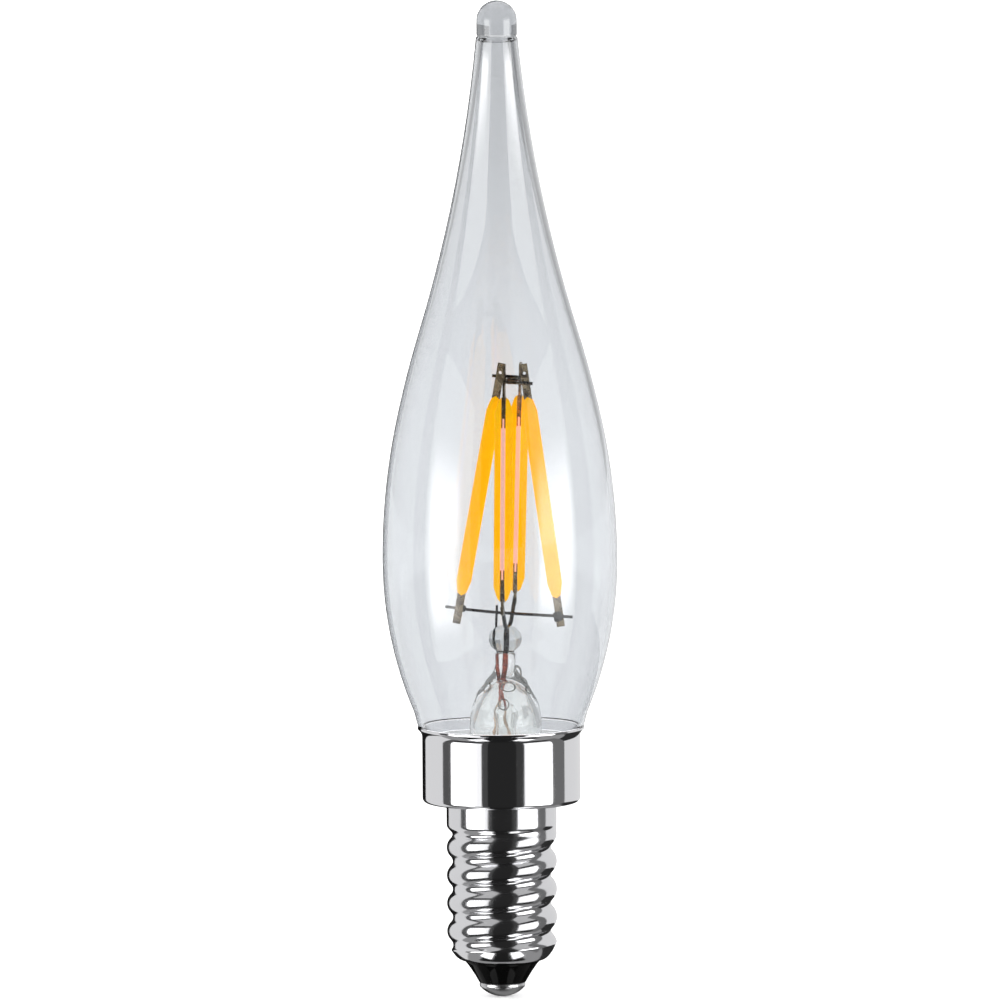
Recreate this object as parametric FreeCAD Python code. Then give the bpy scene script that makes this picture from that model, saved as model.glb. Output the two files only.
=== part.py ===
import FreeCAD, Part
import math
import os

# Clear candle lamp with a drawn-out tip, four light filaments, a metal collar and a small screw cap.
# Millimetres. The origin is the lowest point of the centre contact, on the lamp's axis, and +Z runs up the lamp.
# +X is to the right and -Y is to the front.

Vector = FreeCAD.Vector
UP = Vector(0, 0, 1)

# Centre contact and black glass insulator
contact_radius = 2.9
contact_height = 1.8
contact_rim = 0.5
shank_radius = 0.95
shank_height = 4.0
insulator_foot_radius = 2.95
insulator_cone_height = 2.8
insulator_top_height = 2.3
insulator_top_radius = 5.55
shank_clearance = 0.03
insulator_clearance = 0.03

# Screw shell, a rolled thread in thin sheet
thread_major_radius = 6.945
thread_minor_radius = 6.145
thread_height = 15.4
shell_wall = 0.3
shell_rim_radius = 4.8
shell_taper_deg = 40.0
shell_taper_rounding = 1.4
shell_band_height = 3.3
shell_neck_height = 0.6
shell_neck_drop = 0.5
shell_flange_width = 1.4

# Collar, a drawn metal sleeve
collar_radius = 9.8
collar_wall = 0.35
collar_height = 8.2
collar_edge_rounding = 0.6
collar_lip_radius = 10.5
collar_lip_height = 1.4
collar_lip_edge = 0.3
collar_hole_clearance = 0.03

# Blown glass envelope. Heights are above the collar's lip. The outline runs both ways from the widest place, each
# arc tangent to the one before, and gives the height and the outer radius at the arcs' ends.
glass_wall = 0.7
neck_radius = 8.7
neck_length = 2.4
neck_depth = 6.2
lip_gap = 0.1
lip_rest_gap = 0.05
throat_height = 1.9
throat_radius = 10.95
bulge_height = 21.1
bulge_radius = 14.8
upper_outline = [
    (38.8, 12.93),
    (50.0, 10.02),
    (86.9, 2.65),
]
groove_depth = 0.16
groove_height = 0.6
knob_radius = 2.55
knob_height = 4.25
inner_run = 12.0

# Glass stem: flange, flare tube, pinch and bead, on an axis beside the lamp's own
stem_offset = 0.6
stem_flange_height = 0.9
flare_radius = 6.6
flare_height = 3.0
stem_radius = 4.55
stem_wall = 0.8
shoulder_height = 6.6
shoulder_share = 0.72
rod_radius = 1.14
rod_height = 14.9
bead_radius = 1.95
bead_height = 17.3
bead_top_deg = 72.0
bore_height = 8.6
ceiling_radius = 1.9

# Exhaust tube and its port in the pinch
exhaust_radius = 1.3
exhaust_wall = 0.4
exhaust_below_flange = 2.8
port_radius = 0.45
port_overshoot = 1.2
port_reach = (1.4, -1.0, 5.4)

# Filament cage. Azimuths are seen from above, from +X towards +Y.
cage_offset = 1.07
cage_lean_deg = 1.2
crossbar_height = 20.7
filament_base_height = 1.9
filament_base_radius = 6.07
filament_top_radius = 2.0
filament_rise = 25.3
outer_tail_length = 3.6
inner_tail_length = 1.7
filament_sides = {
    "left": (172.3, 172.3, outer_tail_length),
    "right": (-7.7, -7.7, outer_tail_length),
    "front": (-97.7, -120.0, inner_tail_length),
    "back": (82.3, 60.0, inner_tail_length),
}

# One light filament
strip_width = 1.5
strip_thickness = 0.5
tongue_length = 1.2
tongue_thickness = 0.24
coat_width = 1.65
coat_height = 0.9
coat_taper_length = 1.4
coat_taper_ratio = 0.62
coat_sides = 6
tab_width = 1.0
tab_overlap = 3.9
tail_thickness = 0.3
upper_tail_length = 4.2
tab_hole_radius = 0.2
tab_hole_inset = 1.2
chip_count = 10
chip_size = (0.42, 0.18, 0.62)
chip_pitch = 1.65

# Wires of the cage
bridge_wire_radius = 0.31
bridge_above_coats = 2.1
bridge_drop = 0.18
bridge_half_length = 2.55
bridge_turn_reach = 0.75
bridge_run_spacing = 0.68
crossbar_radius = 0.22
crossbar_half_length = 8.16
crossbar_tilt_deg = 2.6
deep_bar_radius = 0.25
deep_bar_sag = 0.85
deep_bar_weld_height = 0.8
deep_bar_bend = 1.2

# Lead wires. Places are beside the stem's axis.
lead_radius = 0.22
lead_bead_places = {"a": -0.6, "b": 0.25}
lead_tube_places = {"a": -1.75, "b": 1.75}
lead_bend = 0.5
lead_bend_drop = 1.4
lead_foot_rise = 0.3
seal_top = 15.5
seal_bottom = 7.6

# Driver, inside the screw shell
sleeve_clearance = 0.1
sleeve_wall = 0.4
sleeve_height = 17.2
board_thickness = 0.8
board_back = 1.5
board_gap = 0.9
board_clearance = 0.03
rectifier_size = (4.7, 1.5, 3.9)
rectifier_height = 9.6
driver_chip_size = (3.9, 1.4, 4.9)
driver_chip_height = 3.0
capacitor_radius = 2.0
capacitor_length = 7.0
capacitor_gap = 0.8
capacitor_place = 1.9
fuse_length = 4.2
fuse_height = 1.1
small_wire_radius = 0.2
small_wire_bend = 0.5
solder_length = 1.0

# Straight runs in a small rounding
rounding_runs = 3

# Levels, from the contact upwards
cap_seat = contact_height
shell_bottom = cap_seat + insulator_cone_height
taper_slope = math.tan(math.radians(shell_taper_deg))
taper_rise = 1.0 / math.cos(math.radians(shell_taper_deg))
insulator_top = shell_bottom + insulator_top_height + shell_wall * taper_rise
arc_start = thread_major_radius - shell_taper_rounding * (1 - math.sin(math.radians(shell_taper_deg)))
arc_foot = shell_bottom + (arc_start - shell_rim_radius) * taper_slope
arc_centre = arc_foot + shell_taper_rounding * math.cos(math.radians(shell_taper_deg))
thread_bottom = arc_foot
thread_top = thread_bottom + thread_height
collar_floor = thread_top + shell_band_height
shell_top = collar_floor + collar_wall
shell_neck_radius = thread_major_radius - shell_neck_drop
shell_neck_foot = collar_floor - shell_neck_height
shell_flange_radius = thread_major_radius + shell_flange_width
collar_top = collar_floor + collar_height + collar_lip_height
neck_rim = collar_top - neck_depth
flange_bottom = neck_rim - stem_flange_height
cage_base = neck_rim + crossbar_height
board_top = flange_bottom - exhaust_below_flange - board_gap


def save(name, shape):
    """Write one named piece."""
    shape.exportStep(os.path.join("parts", name + ".step"))


def line(start, end):
    """Straight edge."""
    return Part.LineSegment(start, end).toShape()


def arc(start, middle, end):
    """Circular edge through three points."""
    return Part.Arc(start, middle, end).toShape()


def at(radius, height):
    """Point of a turned profile."""
    return Vector(radius, 0, height)


def corner_arc(centre, radius, from_deg, to_deg):
    """Arc of a turned profile about a centre, angles from +X towards +Z."""
    angles = [math.radians(a) for a in (from_deg, (from_deg + to_deg) / 2, to_deg)]
    points = [centre + Vector(math.cos(a), 0, math.sin(a)) * radius for a in angles]
    return arc(*points)


def tangent_arcs(start, direction, ends):
    """Arcs from point to point, each tangent to the one before. The first leaves along the direction."""
    edges = []
    for end in ends:
        chord = (end - start).normalize()
        lean = direction.getAngle(chord)
        side = (direction - chord * direction.dot(chord)).normalize()
        sagitta = (end - start).Length / 2 * math.tan(lean / 2)
        edges.append(arc(start, (start + end) * 0.5 + side * sagitta, end))
        direction = chord * (2 * direction.dot(chord)) - direction
        start = end
    return edges


def straight_runs(points):
    """Straight edges from point to point."""
    return [line(a, b) for a, b in zip(points, points[1:])]


def in_runs(edges, runs=rounding_runs):
    """A few straight edges along each arc, which give small roundings a light mesh."""
    return [run for edge in edges for run in straight_runs(edge.discretize(Number=runs + 1))]


def turn(edges):
    """Solid turned about the Z axis from the closed profile of the edges."""
    face = Part.Face(Part.Wire(Part.__sortEdges__(edges)))
    solid = face.revolve(Vector(), UP, 360)
    if solid.Volume < 0:
        solid.reverse()
    return solid


def turned(points):
    """Solid turned about the Z axis from a closed outline of straight runs."""
    corners = [at(*p) for p in points]
    return turn(straight_runs(corners + corners[:1]))


def block(size, centre):
    """Box about a centre."""
    half = Vector(*size) * 0.5
    return Part.makeBox(*size, centre - half)


def bent_path(points, bend):
    """Wire of straight runs, with a few short runs round each bend."""
    places = [points[0]]
    for before, corner, after in zip(points, points[1:], points[2:]):
        back = (before - corner).normalize()
        ahead = (after - corner).normalize()
        half = back.getAngle(ahead) / 2
        middle = (back + ahead).normalize()
        reach = bend / math.tan(half)
        crest = corner + middle * (bend / math.sin(half) - bend)
        places += arc(corner + back * reach, crest, corner + ahead * reach).discretize(Number=rounding_runs)
    places.append(points[-1])
    return Part.Wire(straight_runs(places))


def bent_rod(points, radius, bend=0):
    """Round wire along a path, with mitred corners where no bend is given."""
    section = Part.Wire(Part.Circle(points[0], points[1] - points[0], radius).toShape())
    if len(points) == 2:
        return Part.Face(section).extrude(points[1] - points[0])
    path = bent_path(points, bend) if bend else Part.Wire(straight_runs(points))
    return path.makePipeShell([section], True, False, 1)


def screw_shell():
    """Thin shell with a taper round the insulator, and a narrower neck and a flange for the collar."""
    inner = thread_major_radius - shell_wall
    rounding = corner_arc(at(thread_major_radius - shell_taper_rounding, arc_centre),
                          shell_taper_rounding, shell_taper_deg - 90, 0)
    inner_rounding = corner_arc(at(thread_major_radius - shell_taper_rounding, arc_centre),
                                shell_taper_rounding - shell_wall, shell_taper_deg - 90, 0)
    flange_top = shell_top + shell_wall
    inner_fold = shell_neck_foot - shell_wall * (math.sqrt(2) - 1)
    return turn(in_runs([rounding]) + straight_runs([
        rounding.lastVertex().Point,
        at(thread_major_radius, shell_neck_foot),
        at(shell_neck_radius, shell_neck_foot + shell_neck_drop),
        at(shell_neck_radius, shell_top),
        at(shell_flange_radius, shell_top),
        at(shell_flange_radius, flange_top),
        at(inner - shell_neck_drop, flange_top),
        at(inner - shell_neck_drop, inner_fold + shell_neck_drop),
        at(inner, inner_fold),
        inner_rounding.lastVertex().Point,
        inner_rounding.firstVertex().Point,
        at(shell_rim_radius, shell_bottom + shell_wall * taper_rise),
        at(shell_rim_radius, shell_bottom),
        rounding.firstVertex().Point,
    ]))


def centre_contact():
    """Domed contact with a shank that holds it in the insulator."""
    crown = contact_height - contact_rim
    top = cap_seat + shank_height
    dome = tangent_arcs(at(0, 0), Vector(1, 0, 0), [at(contact_radius, crown)])
    return turn(dome + straight_runs([
        at(contact_radius, crown),
        at(contact_radius, cap_seat),
        at(shank_radius, cap_seat),
        at(shank_radius, top),
        at(0, top),
        at(0, 0),
    ]))


def glass_insulator():
    """Black glass cone that fills the foot of the shell round the contact's shank."""
    bore = shank_radius + shank_clearance
    rim = shell_rim_radius - insulator_clearance
    seat = shell_bottom + shell_wall * taper_rise + insulator_clearance
    shoulder = seat + (insulator_top_radius - rim) * taper_slope
    return turned([
        (bore, cap_seat),
        (insulator_foot_radius, cap_seat),
        (rim, shell_bottom),
        (rim, seat),
        (insulator_top_radius, shoulder),
        (insulator_top_radius, insulator_top),
        (bore, insulator_top),
    ])


def base_collar():
    """Drawn sleeve with a rounded lower edge, a floor round the shell and a flared lip."""
    inner = collar_radius - collar_wall
    hole = shell_neck_radius + collar_hole_clearance
    centre = at(collar_radius - collar_edge_rounding, collar_floor + collar_edge_rounding)
    lip_foot = collar_floor + collar_height
    lip_edge = at(collar_lip_radius, collar_top - collar_lip_edge)
    flare = tangent_arcs(at(collar_radius, lip_foot), UP, [lip_edge])
    rounding = corner_arc(centre, collar_edge_rounding, -90, 0)
    return turn(in_runs(flare + [rounding]) + straight_runs([
        rounding.lastVertex().Point,
        at(collar_radius, lip_foot),
    ]) + straight_runs([
        lip_edge,
        at(collar_lip_radius, collar_top),
        at(collar_lip_radius - collar_wall, collar_top),
        at(inner, lip_foot),
        at(inner, centre.z),
        at(centre.x, shell_top),
        at(hole, shell_top),
        at(hole, collar_floor),
        rounding.firstVertex().Point,
    ]))


def blown_edges():
    """Outer outline of the blown glass: from the widest place down to the throat, and up to the tail."""
    widest = at(bulge_radius, collar_top + bulge_height)
    throat = at(throat_radius, collar_top + throat_height)
    upper_ends = [at(radius, collar_top + height) for height, radius in upper_outline]
    return tangent_arcs(widest, -UP, [throat]), tangent_arcs(widest, UP, upper_ends)


def inner_points(edges):
    """Points one wall inside the arcs, a run apart, from the widest place on."""
    points = [at(bulge_radius - glass_wall, collar_top + bulge_height)]
    for edge in edges:
        for place in edge.discretize(Number=2 + int(edge.Length / inner_run))[1:]:
            inward = edge.tangentAt(edge.Curve.parameter(place)).cross(Vector(0, 1, 0))
            points.append(place + inward * math.copysign(glass_wall, -inward.x))
    return points


def glass_envelope():
    """Blown glass from the neck rim to the solid knob at the tip, hollow below the knob."""
    lower, upper = blown_edges()
    neck_top = at(neck_radius, neck_rim + neck_length)
    throat = lower[-1].lastVertex().Point
    tail = upper[-1].lastVertex().Point
    knob_foot = at(knob_radius, tail.z + groove_height)
    tip = knob_foot.z + knob_height
    dome_centre = at(0, tip - knob_radius)
    inner_low = inner_points(lower)
    inner_high = inner_points(upper)
    cavity = inner_high[-1]
    in_lip = [
        at(collar_lip_radius - lip_rest_gap, collar_top + lip_rest_gap),
        at(collar_lip_radius - collar_wall - lip_gap, collar_top),
        at(collar_radius - collar_wall - 2 * lip_gap, collar_top - collar_lip_height),
    ]
    groove = arc(tail, at(tail.x - groove_depth, tail.z + groove_height / 2), knob_foot)
    cavity_end = corner_arc(at(0, cavity.z), cavity.x, 90, 0)
    return turn(lower + upper + straight_runs([throat] + in_lip + [neck_top, at(neck_radius, neck_rim)]) + [
        line(knob_foot, at(knob_radius, dome_centre.z)),
        corner_arc(dome_centre, knob_radius, 0, 90),
        line(at(0, tip), at(0, cavity.z + cavity.x)),
    ] + in_runs([groove, cavity_end]) + straight_runs(inner_high[::-1] + inner_low[1:] + [
        neck_top - Vector(glass_wall, 0, 0),
        at(neck_radius - glass_wall, neck_rim),
        at(neck_radius, neck_rim),
    ]))


def stem_blank():
    """Glass stem before its wires and port: flange, flare, tube, pinch, rod and bead."""
    bore = stem_radius - stem_wall
    ceiling = neck_rim + bore_height
    flare_top = at(stem_radius, neck_rim + flare_height)
    shoulder_foot = at(stem_radius, neck_rim + shoulder_height)
    rod_foot = at(rod_radius, neck_rim + rod_height)
    shoulder_middle = shoulder_foot + (rod_foot - shoulder_foot) * shoulder_share
    bead_centre = at(0, neck_rim + bead_height)
    bead_foot_deg = -math.degrees(math.acos(rod_radius / bead_radius))
    roundings = [corner_arc(bead_centre, bead_radius, bead_foot_deg, bead_top_deg)]
    roundings += tangent_arcs(shoulder_foot, UP, [shoulder_middle, rod_foot])
    roundings += tangent_arcs(flare_top, -UP, [at(flare_radius, neck_rim)])
    stem = turn(in_runs(roundings) + [
        line(flare_top, shoulder_foot),
        line(rod_foot, roundings[0].firstVertex().Point),
    ] + straight_runs([
        roundings[0].lastVertex().Point,
        at(0, roundings[0].lastVertex().Point.z),
        at(0, ceiling),
        at(ceiling_radius, ceiling),
        at(bore, ceiling - bore + ceiling_radius),
        at(bore, flange_bottom),
        at(flare_radius, flange_bottom),
        at(flare_radius, neck_rim),
    ]))
    stem.translate(Vector(stem_offset, 0, 0))
    rim = Part.makeCylinder(neck_radius, stem_flange_height, at(0, flange_bottom))
    rim = rim.cut(Part.makeCylinder(stem_radius, stem_flange_height, at(stem_offset, flange_bottom)))
    return stem.fuse(rim).removeSplitter()


def exhaust_tube():
    """Short tube under the pinch, with its lower end melted shut."""
    top = neck_rim + bore_height
    tip = flange_bottom - exhaust_below_flange
    inner = exhaust_radius - exhaust_wall
    centre = at(0, tip + exhaust_radius)
    tube = turn(in_runs([corner_arc(centre, exhaust_radius, -90, 0)]) + straight_runs([
        at(exhaust_radius, centre.z),
        at(exhaust_radius, top),
        at(inner, top),
        at(inner, centre.z),
        at(0, centre.z - inner),
        at(0, tip),
    ]))
    tube.translate(Vector(stem_offset, 0, 0))
    return tube


def exhaust_port():
    """Slanted hole from the exhaust tube to the inside of the lamp."""
    start = at(stem_offset, neck_rim + bore_height - port_radius)
    reach = Vector(*port_reach)
    return Part.makeCylinder(port_radius, reach.Length * port_overshoot, start, reach)


def in_cage(point):
    """Point of the lamp for a point of the filament cage, which leans about its crossbar."""
    lean = FreeCAD.Rotation(Vector(0, 1, 0), cage_lean_deg)
    return lean.multVec(point) + Vector(cage_offset, 0, cage_base)


def polar(radius, azimuth_deg, height):
    """Point of the filament cage."""
    azimuth = math.radians(azimuth_deg)
    return Vector(radius * math.cos(azimuth), radius * math.sin(azimuth), height)


def filament_axis(side):
    """Lower and upper end of one filament's coat."""
    base_azimuth, top_azimuth, _ = filament_sides[side]
    base = polar(filament_base_radius, base_azimuth, filament_base_height)
    top = polar(filament_top_radius, top_azimuth, filament_base_height + filament_rise)
    return in_cage(base), in_cage(top)


def filament_placement(side):
    """Placement of a filament: Z along it, X across its face and Y through its thickness."""
    base, top = filament_axis(side)
    along = (top - base).normalize()
    azimuth = math.radians(filament_sides[side][0])
    tangent = Vector(-math.sin(azimuth), math.cos(azimuth), 0)
    across = tangent.cross(along).normalize()
    rotation = FreeCAD.Rotation(across, along.cross(across), along, "ZXY")
    return FreeCAD.Placement(base, rotation)


def coat_half(length):
    """Domed strip of phosphor on one face of a filament, narrower at its ends."""
    face = strip_thickness / 2
    sections = []
    stations = [(0, coat_taper_ratio), (coat_taper_length, 1),
                (length - coat_taper_length, 1), (length, coat_taper_ratio)]
    for height, ratio in stations:
        half = coat_width / 2 * ratio
        left = Vector(-half, face, height)
        crown = Vector(0, face + coat_height * ratio, height)
        right = Vector(half, face, height)
        sections.append(Part.Wire(in_runs([arc(left, crown, right)], coat_sides) + [line(right, left)]))
    return Part.makeLoft(sections, True, True)


def filament_tab(length, tail_length, upper):
    """Metal end tab: a slotted root between the coats, and a thin tail outside them."""
    root_middle = length - tab_overlap / 2 if upper else tab_overlap / 2
    tail_middle = length + tail_length / 2 if upper else -tail_length / 2
    tongue_middle = length - tab_overlap + tongue_length / 2 if upper else tab_overlap - tongue_length / 2
    tab = block((tab_width, strip_thickness, tab_overlap), at(0, root_middle))
    tab = tab.fuse(block((tab_width, tail_thickness, tail_length), at(0, tail_middle))).removeSplitter()
    tab = tab.cut(block((tab_width, tongue_thickness, tongue_length), at(0, tongue_middle)))
    if upper:
        hole_foot = Vector(0, -tail_thickness, length + tail_length - tab_hole_inset)
        tab = tab.cut(Part.makeCylinder(tab_hole_radius, 2 * tail_thickness, hole_foot, Vector(0, 1, 0)))
    return tab


def filament_pieces(side):
    """The pieces of one filament, in place."""
    base, top = filament_axis(side)
    length = (top - base).Length
    tail_length = filament_sides[side][2]
    strip_length = length - 2 * tab_overlap
    middle = at(0, length / 2)
    strip = block((strip_width, strip_thickness, strip_length), middle)
    strip = strip.fuse(block((tab_width, tongue_thickness, strip_length + 2 * tongue_length), middle))
    first = length / 2 - (chip_count - 1) * chip_pitch / 2
    chips = Part.makeCompound([
        block(chip_size, Vector(0, (strip_thickness + chip_size[1]) / 2, first + step * chip_pitch))
        for step in range(chip_count)
    ])
    front_coat = coat_half(length)
    back_coat = front_coat.mirror(Vector(), Vector(0, 1, 0))
    pieces = {
        "strip": strip,
        "chips": chips,
        "phosphor": Part.makeCompound([front_coat.cut(chips), back_coat]),
        "upper_tab": filament_tab(length, upper_tail_length, True),
        "lower_tab": filament_tab(length, tail_length, False),
    }
    placement = filament_placement(side)
    for piece in pieces.values():
        piece.Placement = placement.multiply(piece.Placement)
    return pieces


def bridge_wire(tabs):
    """S-bent wire that joins the four upper tabs, notched where they are welded to it."""
    out = bridge_half_length
    turn_x = bridge_turn_reach
    side = bridge_run_spacing
    plan = [
        (-out, side, bridge_drop),
        (turn_x, side, bridge_drop),
        (turn_x, 0, 0),
        (-turn_x, 0, 0),
        (-turn_x, -side, -bridge_drop),
        (out, -side, -bridge_drop),
    ]
    height = filament_base_height + filament_rise + bridge_above_coats
    points = [in_cage(Vector(x, y, height + rise)) for x, y, rise in plan]
    return bent_rod(points, bridge_wire_radius).cut(tabs)


def wide_crossbar(tabs):
    """Straight wire that carries the left and right filaments, behind one tab and before the other."""
    half = crossbar_half_length
    tab_radius = filament_base_radius
    swing = (tail_thickness / 2 + crossbar_radius) / tab_radius
    azimuth = filament_sides["right"][0] - math.degrees(swing)
    rise = half * math.tan(math.radians(crossbar_tilt_deg))
    start = in_cage(polar(half, azimuth + 180, rise))
    end = in_cage(polar(half, azimuth, -rise))
    return bent_rod([start, end], crossbar_radius).cut(tabs)


def deep_crossbar(tabs):
    """V-bent wire that carries the front and back filaments."""
    ends = []
    for side in ("front", "back"):
        base, top = filament_axis(side)
        ends.append(base - (top - base).normalize() * deep_bar_weld_height)
    middle = Vector(stem_offset + lead_bead_places["b"], 0, cage_base - deep_bar_sag)
    return bent_rod([ends[0], middle, ends[1]], deep_bar_radius, deep_bar_bend).cut(tabs)


def lead_pieces(name, top, carrier):
    """Nickel, sealing and outer length of one lead, end to end, from its weld down to the driver board."""
    bead_x = stem_offset + lead_bead_places[name]
    tube_x = stem_offset + lead_tube_places[name]
    back = board_thickness - board_back + lead_radius
    upper_joint = Vector(bead_x, 0, neck_rim + seal_top)
    lower_joint = Vector(tube_x, back, neck_rim + seal_bottom)
    bend_start = Vector(bead_x, 0, neck_rim + rod_height - lead_bend_drop)
    bend_end = Vector(tube_x, back, neck_rim + bore_height + lead_foot_rise)
    board_joint = Vector(tube_x, back, board_top - solder_length)
    return {
        "inner": bent_rod([Vector(bead_x, 0, top), upper_joint], lead_radius).cut(carrier),
        "seal": bent_rod([upper_joint, bend_start, bend_end, lower_joint], lead_radius, lead_bend),
        "outer": bent_rod([lower_joint, board_joint], lead_radius),
    }


def driver_pieces():
    """Board, its parts, the sleeve round them and the wires to the shell and the contact."""
    sleeve_outer = thread_minor_radius - shell_wall - sleeve_clearance
    sleeve_inner = sleeve_outer - sleeve_wall
    sleeve = Part.makeCylinder(sleeve_outer, sleeve_height, at(0, insulator_top))
    sleeve = sleeve.cut(Part.makeCylinder(sleeve_inner, sleeve_height, at(0, insulator_top)))

    half_width = math.sqrt(sleeve_inner ** 2 - board_back ** 2) - board_clearance
    face = -board_back + board_thickness
    board = block((2 * half_width, board_thickness, board_top - insulator_top),
                  Vector(0, face - board_thickness / 2, (board_top + insulator_top) / 2))
    rectifier = block(rectifier_size, Vector(0, -board_back - rectifier_size[1] / 2,
                                             insulator_top + rectifier_height))
    driver_chip = block(driver_chip_size, Vector(0, -board_back - driver_chip_size[1] / 2,
                                                 insulator_top + driver_chip_height))
    can_foot = board_top - solder_length - capacitor_gap - capacitor_length
    can = Part.makeCylinder(capacitor_radius, capacitor_length,
                            Vector(capacitor_place, face + capacitor_radius, can_foot))

    fuse_radius = -face
    fuse_foot = at(0, insulator_top + fuse_height)
    fuse = Part.makeCylinder(fuse_radius, fuse_length, fuse_foot)
    contact_wire = bent_rod([at(0, cap_seat + shank_height), fuse_foot], small_wire_radius)

    flange_top = shell_top + shell_wall + small_wire_radius
    wire_y = face + small_wire_radius
    wire_x = -half_width + 2 * small_wire_radius
    shell_wire = bent_rod([
        Vector(wire_x, wire_y, board_top - solder_length),
        Vector(wire_x, wire_y, flange_top),
        Vector(-shell_flange_radius, wire_y, flange_top),
    ], small_wire_radius, small_wire_bend)
    return {
        "insulating_sleeve": sleeve,
        "driver_board": board,
        "bridge_rectifier": rectifier,
        "driver_chip": driver_chip,
        "smoothing_capacitor": can,
        "fuse_resistor": fuse,
        "contact_wire": contact_wire,
        "shell_wire": shell_wire,
    }


def cement_ring():
    """Cement that fills the wedge between the glass neck and the collar, up to the foot of the lip."""
    outer = collar_radius - collar_wall
    lip_foot = collar_top - collar_lip_height
    return turned([
        (neck_radius, neck_rim),
        (outer, neck_rim),
        (outer, lip_foot),
        (outer - 2 * lip_gap, lip_foot),
        (neck_radius, neck_rim + neck_length),
    ])


def cage_pieces():
    """Filaments, the wires that carry them and the glass stem round the leads."""
    pieces = {}
    upper_tabs = []
    lower_tabs = []
    for side in filament_sides:
        filament = filament_pieces(side)
        upper_tabs.append(filament["upper_tab"])
        lower_tabs.append(filament["lower_tab"])
        for name, shape in filament.items():
            pieces[side + "_filament_" + name] = shape
    wide = wide_crossbar(lower_tabs)
    deep = deep_crossbar(lower_tabs)
    pieces["top_bridge_wire"] = bridge_wire(upper_tabs)
    pieces["wide_crossbar"] = wide
    pieces["deep_crossbar"] = deep

    stem = stem_blank().cut(exhaust_port())
    for name, top, carrier in (("a", cage_base, wide), ("b", cage_base - deep_bar_sag, deep)):
        for part, shape in lead_pieces(name, top, carrier).items():
            stem = stem.cut(shape)
            pieces["lead_" + name + "_" + part] = shape
    pieces["glass_stem"] = stem
    pieces["exhaust_tube"] = exhaust_tube()
    return pieces


def all_pieces():
    """Every piece of the lamp by name."""
    pieces = {
        "centre_contact": centre_contact(),
        "glass_insulator": glass_insulator(),
        "screw_shell": screw_shell(),
        "base_collar": base_collar(),
        "glass_envelope": glass_envelope(),
        "cement_ring": cement_ring(),
    }
    pieces.update(driver_pieces())
    pieces.update(cage_pieces())
    return pieces


os.makedirs("parts", exist_ok=True)
for piece_name, piece_shape in all_pieces().items():
    save(piece_name, piece_shape)
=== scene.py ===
import logging
import math
from dataclasses import dataclass
from enum import Enum

import bmesh
import bpy
from mathutils import Matrix, Quaternion, Vector


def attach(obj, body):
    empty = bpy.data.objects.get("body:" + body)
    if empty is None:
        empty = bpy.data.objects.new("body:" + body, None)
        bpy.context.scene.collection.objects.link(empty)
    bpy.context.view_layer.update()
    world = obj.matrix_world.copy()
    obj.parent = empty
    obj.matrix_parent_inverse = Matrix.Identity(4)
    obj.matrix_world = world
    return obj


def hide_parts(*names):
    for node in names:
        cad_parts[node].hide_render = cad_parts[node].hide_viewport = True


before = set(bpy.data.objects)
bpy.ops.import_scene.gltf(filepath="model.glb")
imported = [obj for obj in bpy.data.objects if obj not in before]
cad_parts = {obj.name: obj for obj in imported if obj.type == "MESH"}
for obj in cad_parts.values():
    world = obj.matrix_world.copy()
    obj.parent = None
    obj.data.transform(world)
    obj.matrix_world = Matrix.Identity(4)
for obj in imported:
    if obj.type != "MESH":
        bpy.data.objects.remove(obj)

logging.basicConfig(level=logging.INFO, format="%(levelname)s %(message)s")
log = logging.getLogger("candle_lamp")

MM = 0.001
BODY = "root"
WELD = 0.002 * MM
NO_LEAN = 1e-6
NO_SWING = 1e-4
BEND_SHARE = 0.48

Station = tuple[float, float]
Point = tuple[float, float, float]
Colour = tuple[float, float, float]


class Shade(Enum):
    """How a piece's faces are smoothed."""

    FLAT = 0.0
    CREASED = 35.0
    ROUND = 60.0


# Working in edit mode


def select_only(obj: bpy.types.Object) -> None:
    """Select one object and make it active.

    Args:
        obj: the object to work on.
    """
    if bpy.context.mode != "OBJECT":
        bpy.ops.object.mode_set(mode="OBJECT")
    bpy.ops.object.select_all(action="DESELECT")
    obj.select_set(True)
    bpy.context.view_layer.objects.active = obj


def select_first(obj: bpy.types.Object, count: int) -> None:
    """Select the first vertices of a mesh that is in edit mode.

    Args:
        obj: the object in edit mode.
        count: how many vertices from the start.
    """
    bpy.ops.mesh.select_all(action="DESELECT")
    bpy.ops.object.mode_set(mode="OBJECT")
    for vertex in obj.data.vertices[:count]:
        vertex.select = True
    bpy.ops.object.mode_set(mode="EDIT")


def settle(obj: bpy.types.Object, name: str, shade: Shade) -> bpy.types.Object:
    """Name a piece, put its place into its mesh and smooth it.

    Args:
        obj: the finished object.
        name: its name.
        shade: how its faces are smoothed.

    Returns:
        The same object.
    """
    select_only(obj)
    obj.name = name
    obj.data.name = name
    bpy.ops.object.transform_apply(location=True, rotation=True, scale=True)
    if shade is not Shade.FLAT:
        bpy.ops.object.shade_smooth_by_angle(angle=math.radians(shade.value))
    return obj


def apply_modifier(obj: bpy.types.Object, kind: str, **values: object) -> None:
    """Add a modifier with its values and apply it.

    Args:
        obj: the object it goes on.
        kind: the modifier's type.
        values: its settings.
    """
    select_only(obj)
    modifier = obj.modifiers.new(kind.title(), kind)
    for key, value in values.items():
        setattr(modifier, key, value)
    bpy.ops.object.modifier_apply(modifier=modifier.name)


# Outlines of turned pieces, in millimetres: radius and height


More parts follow.
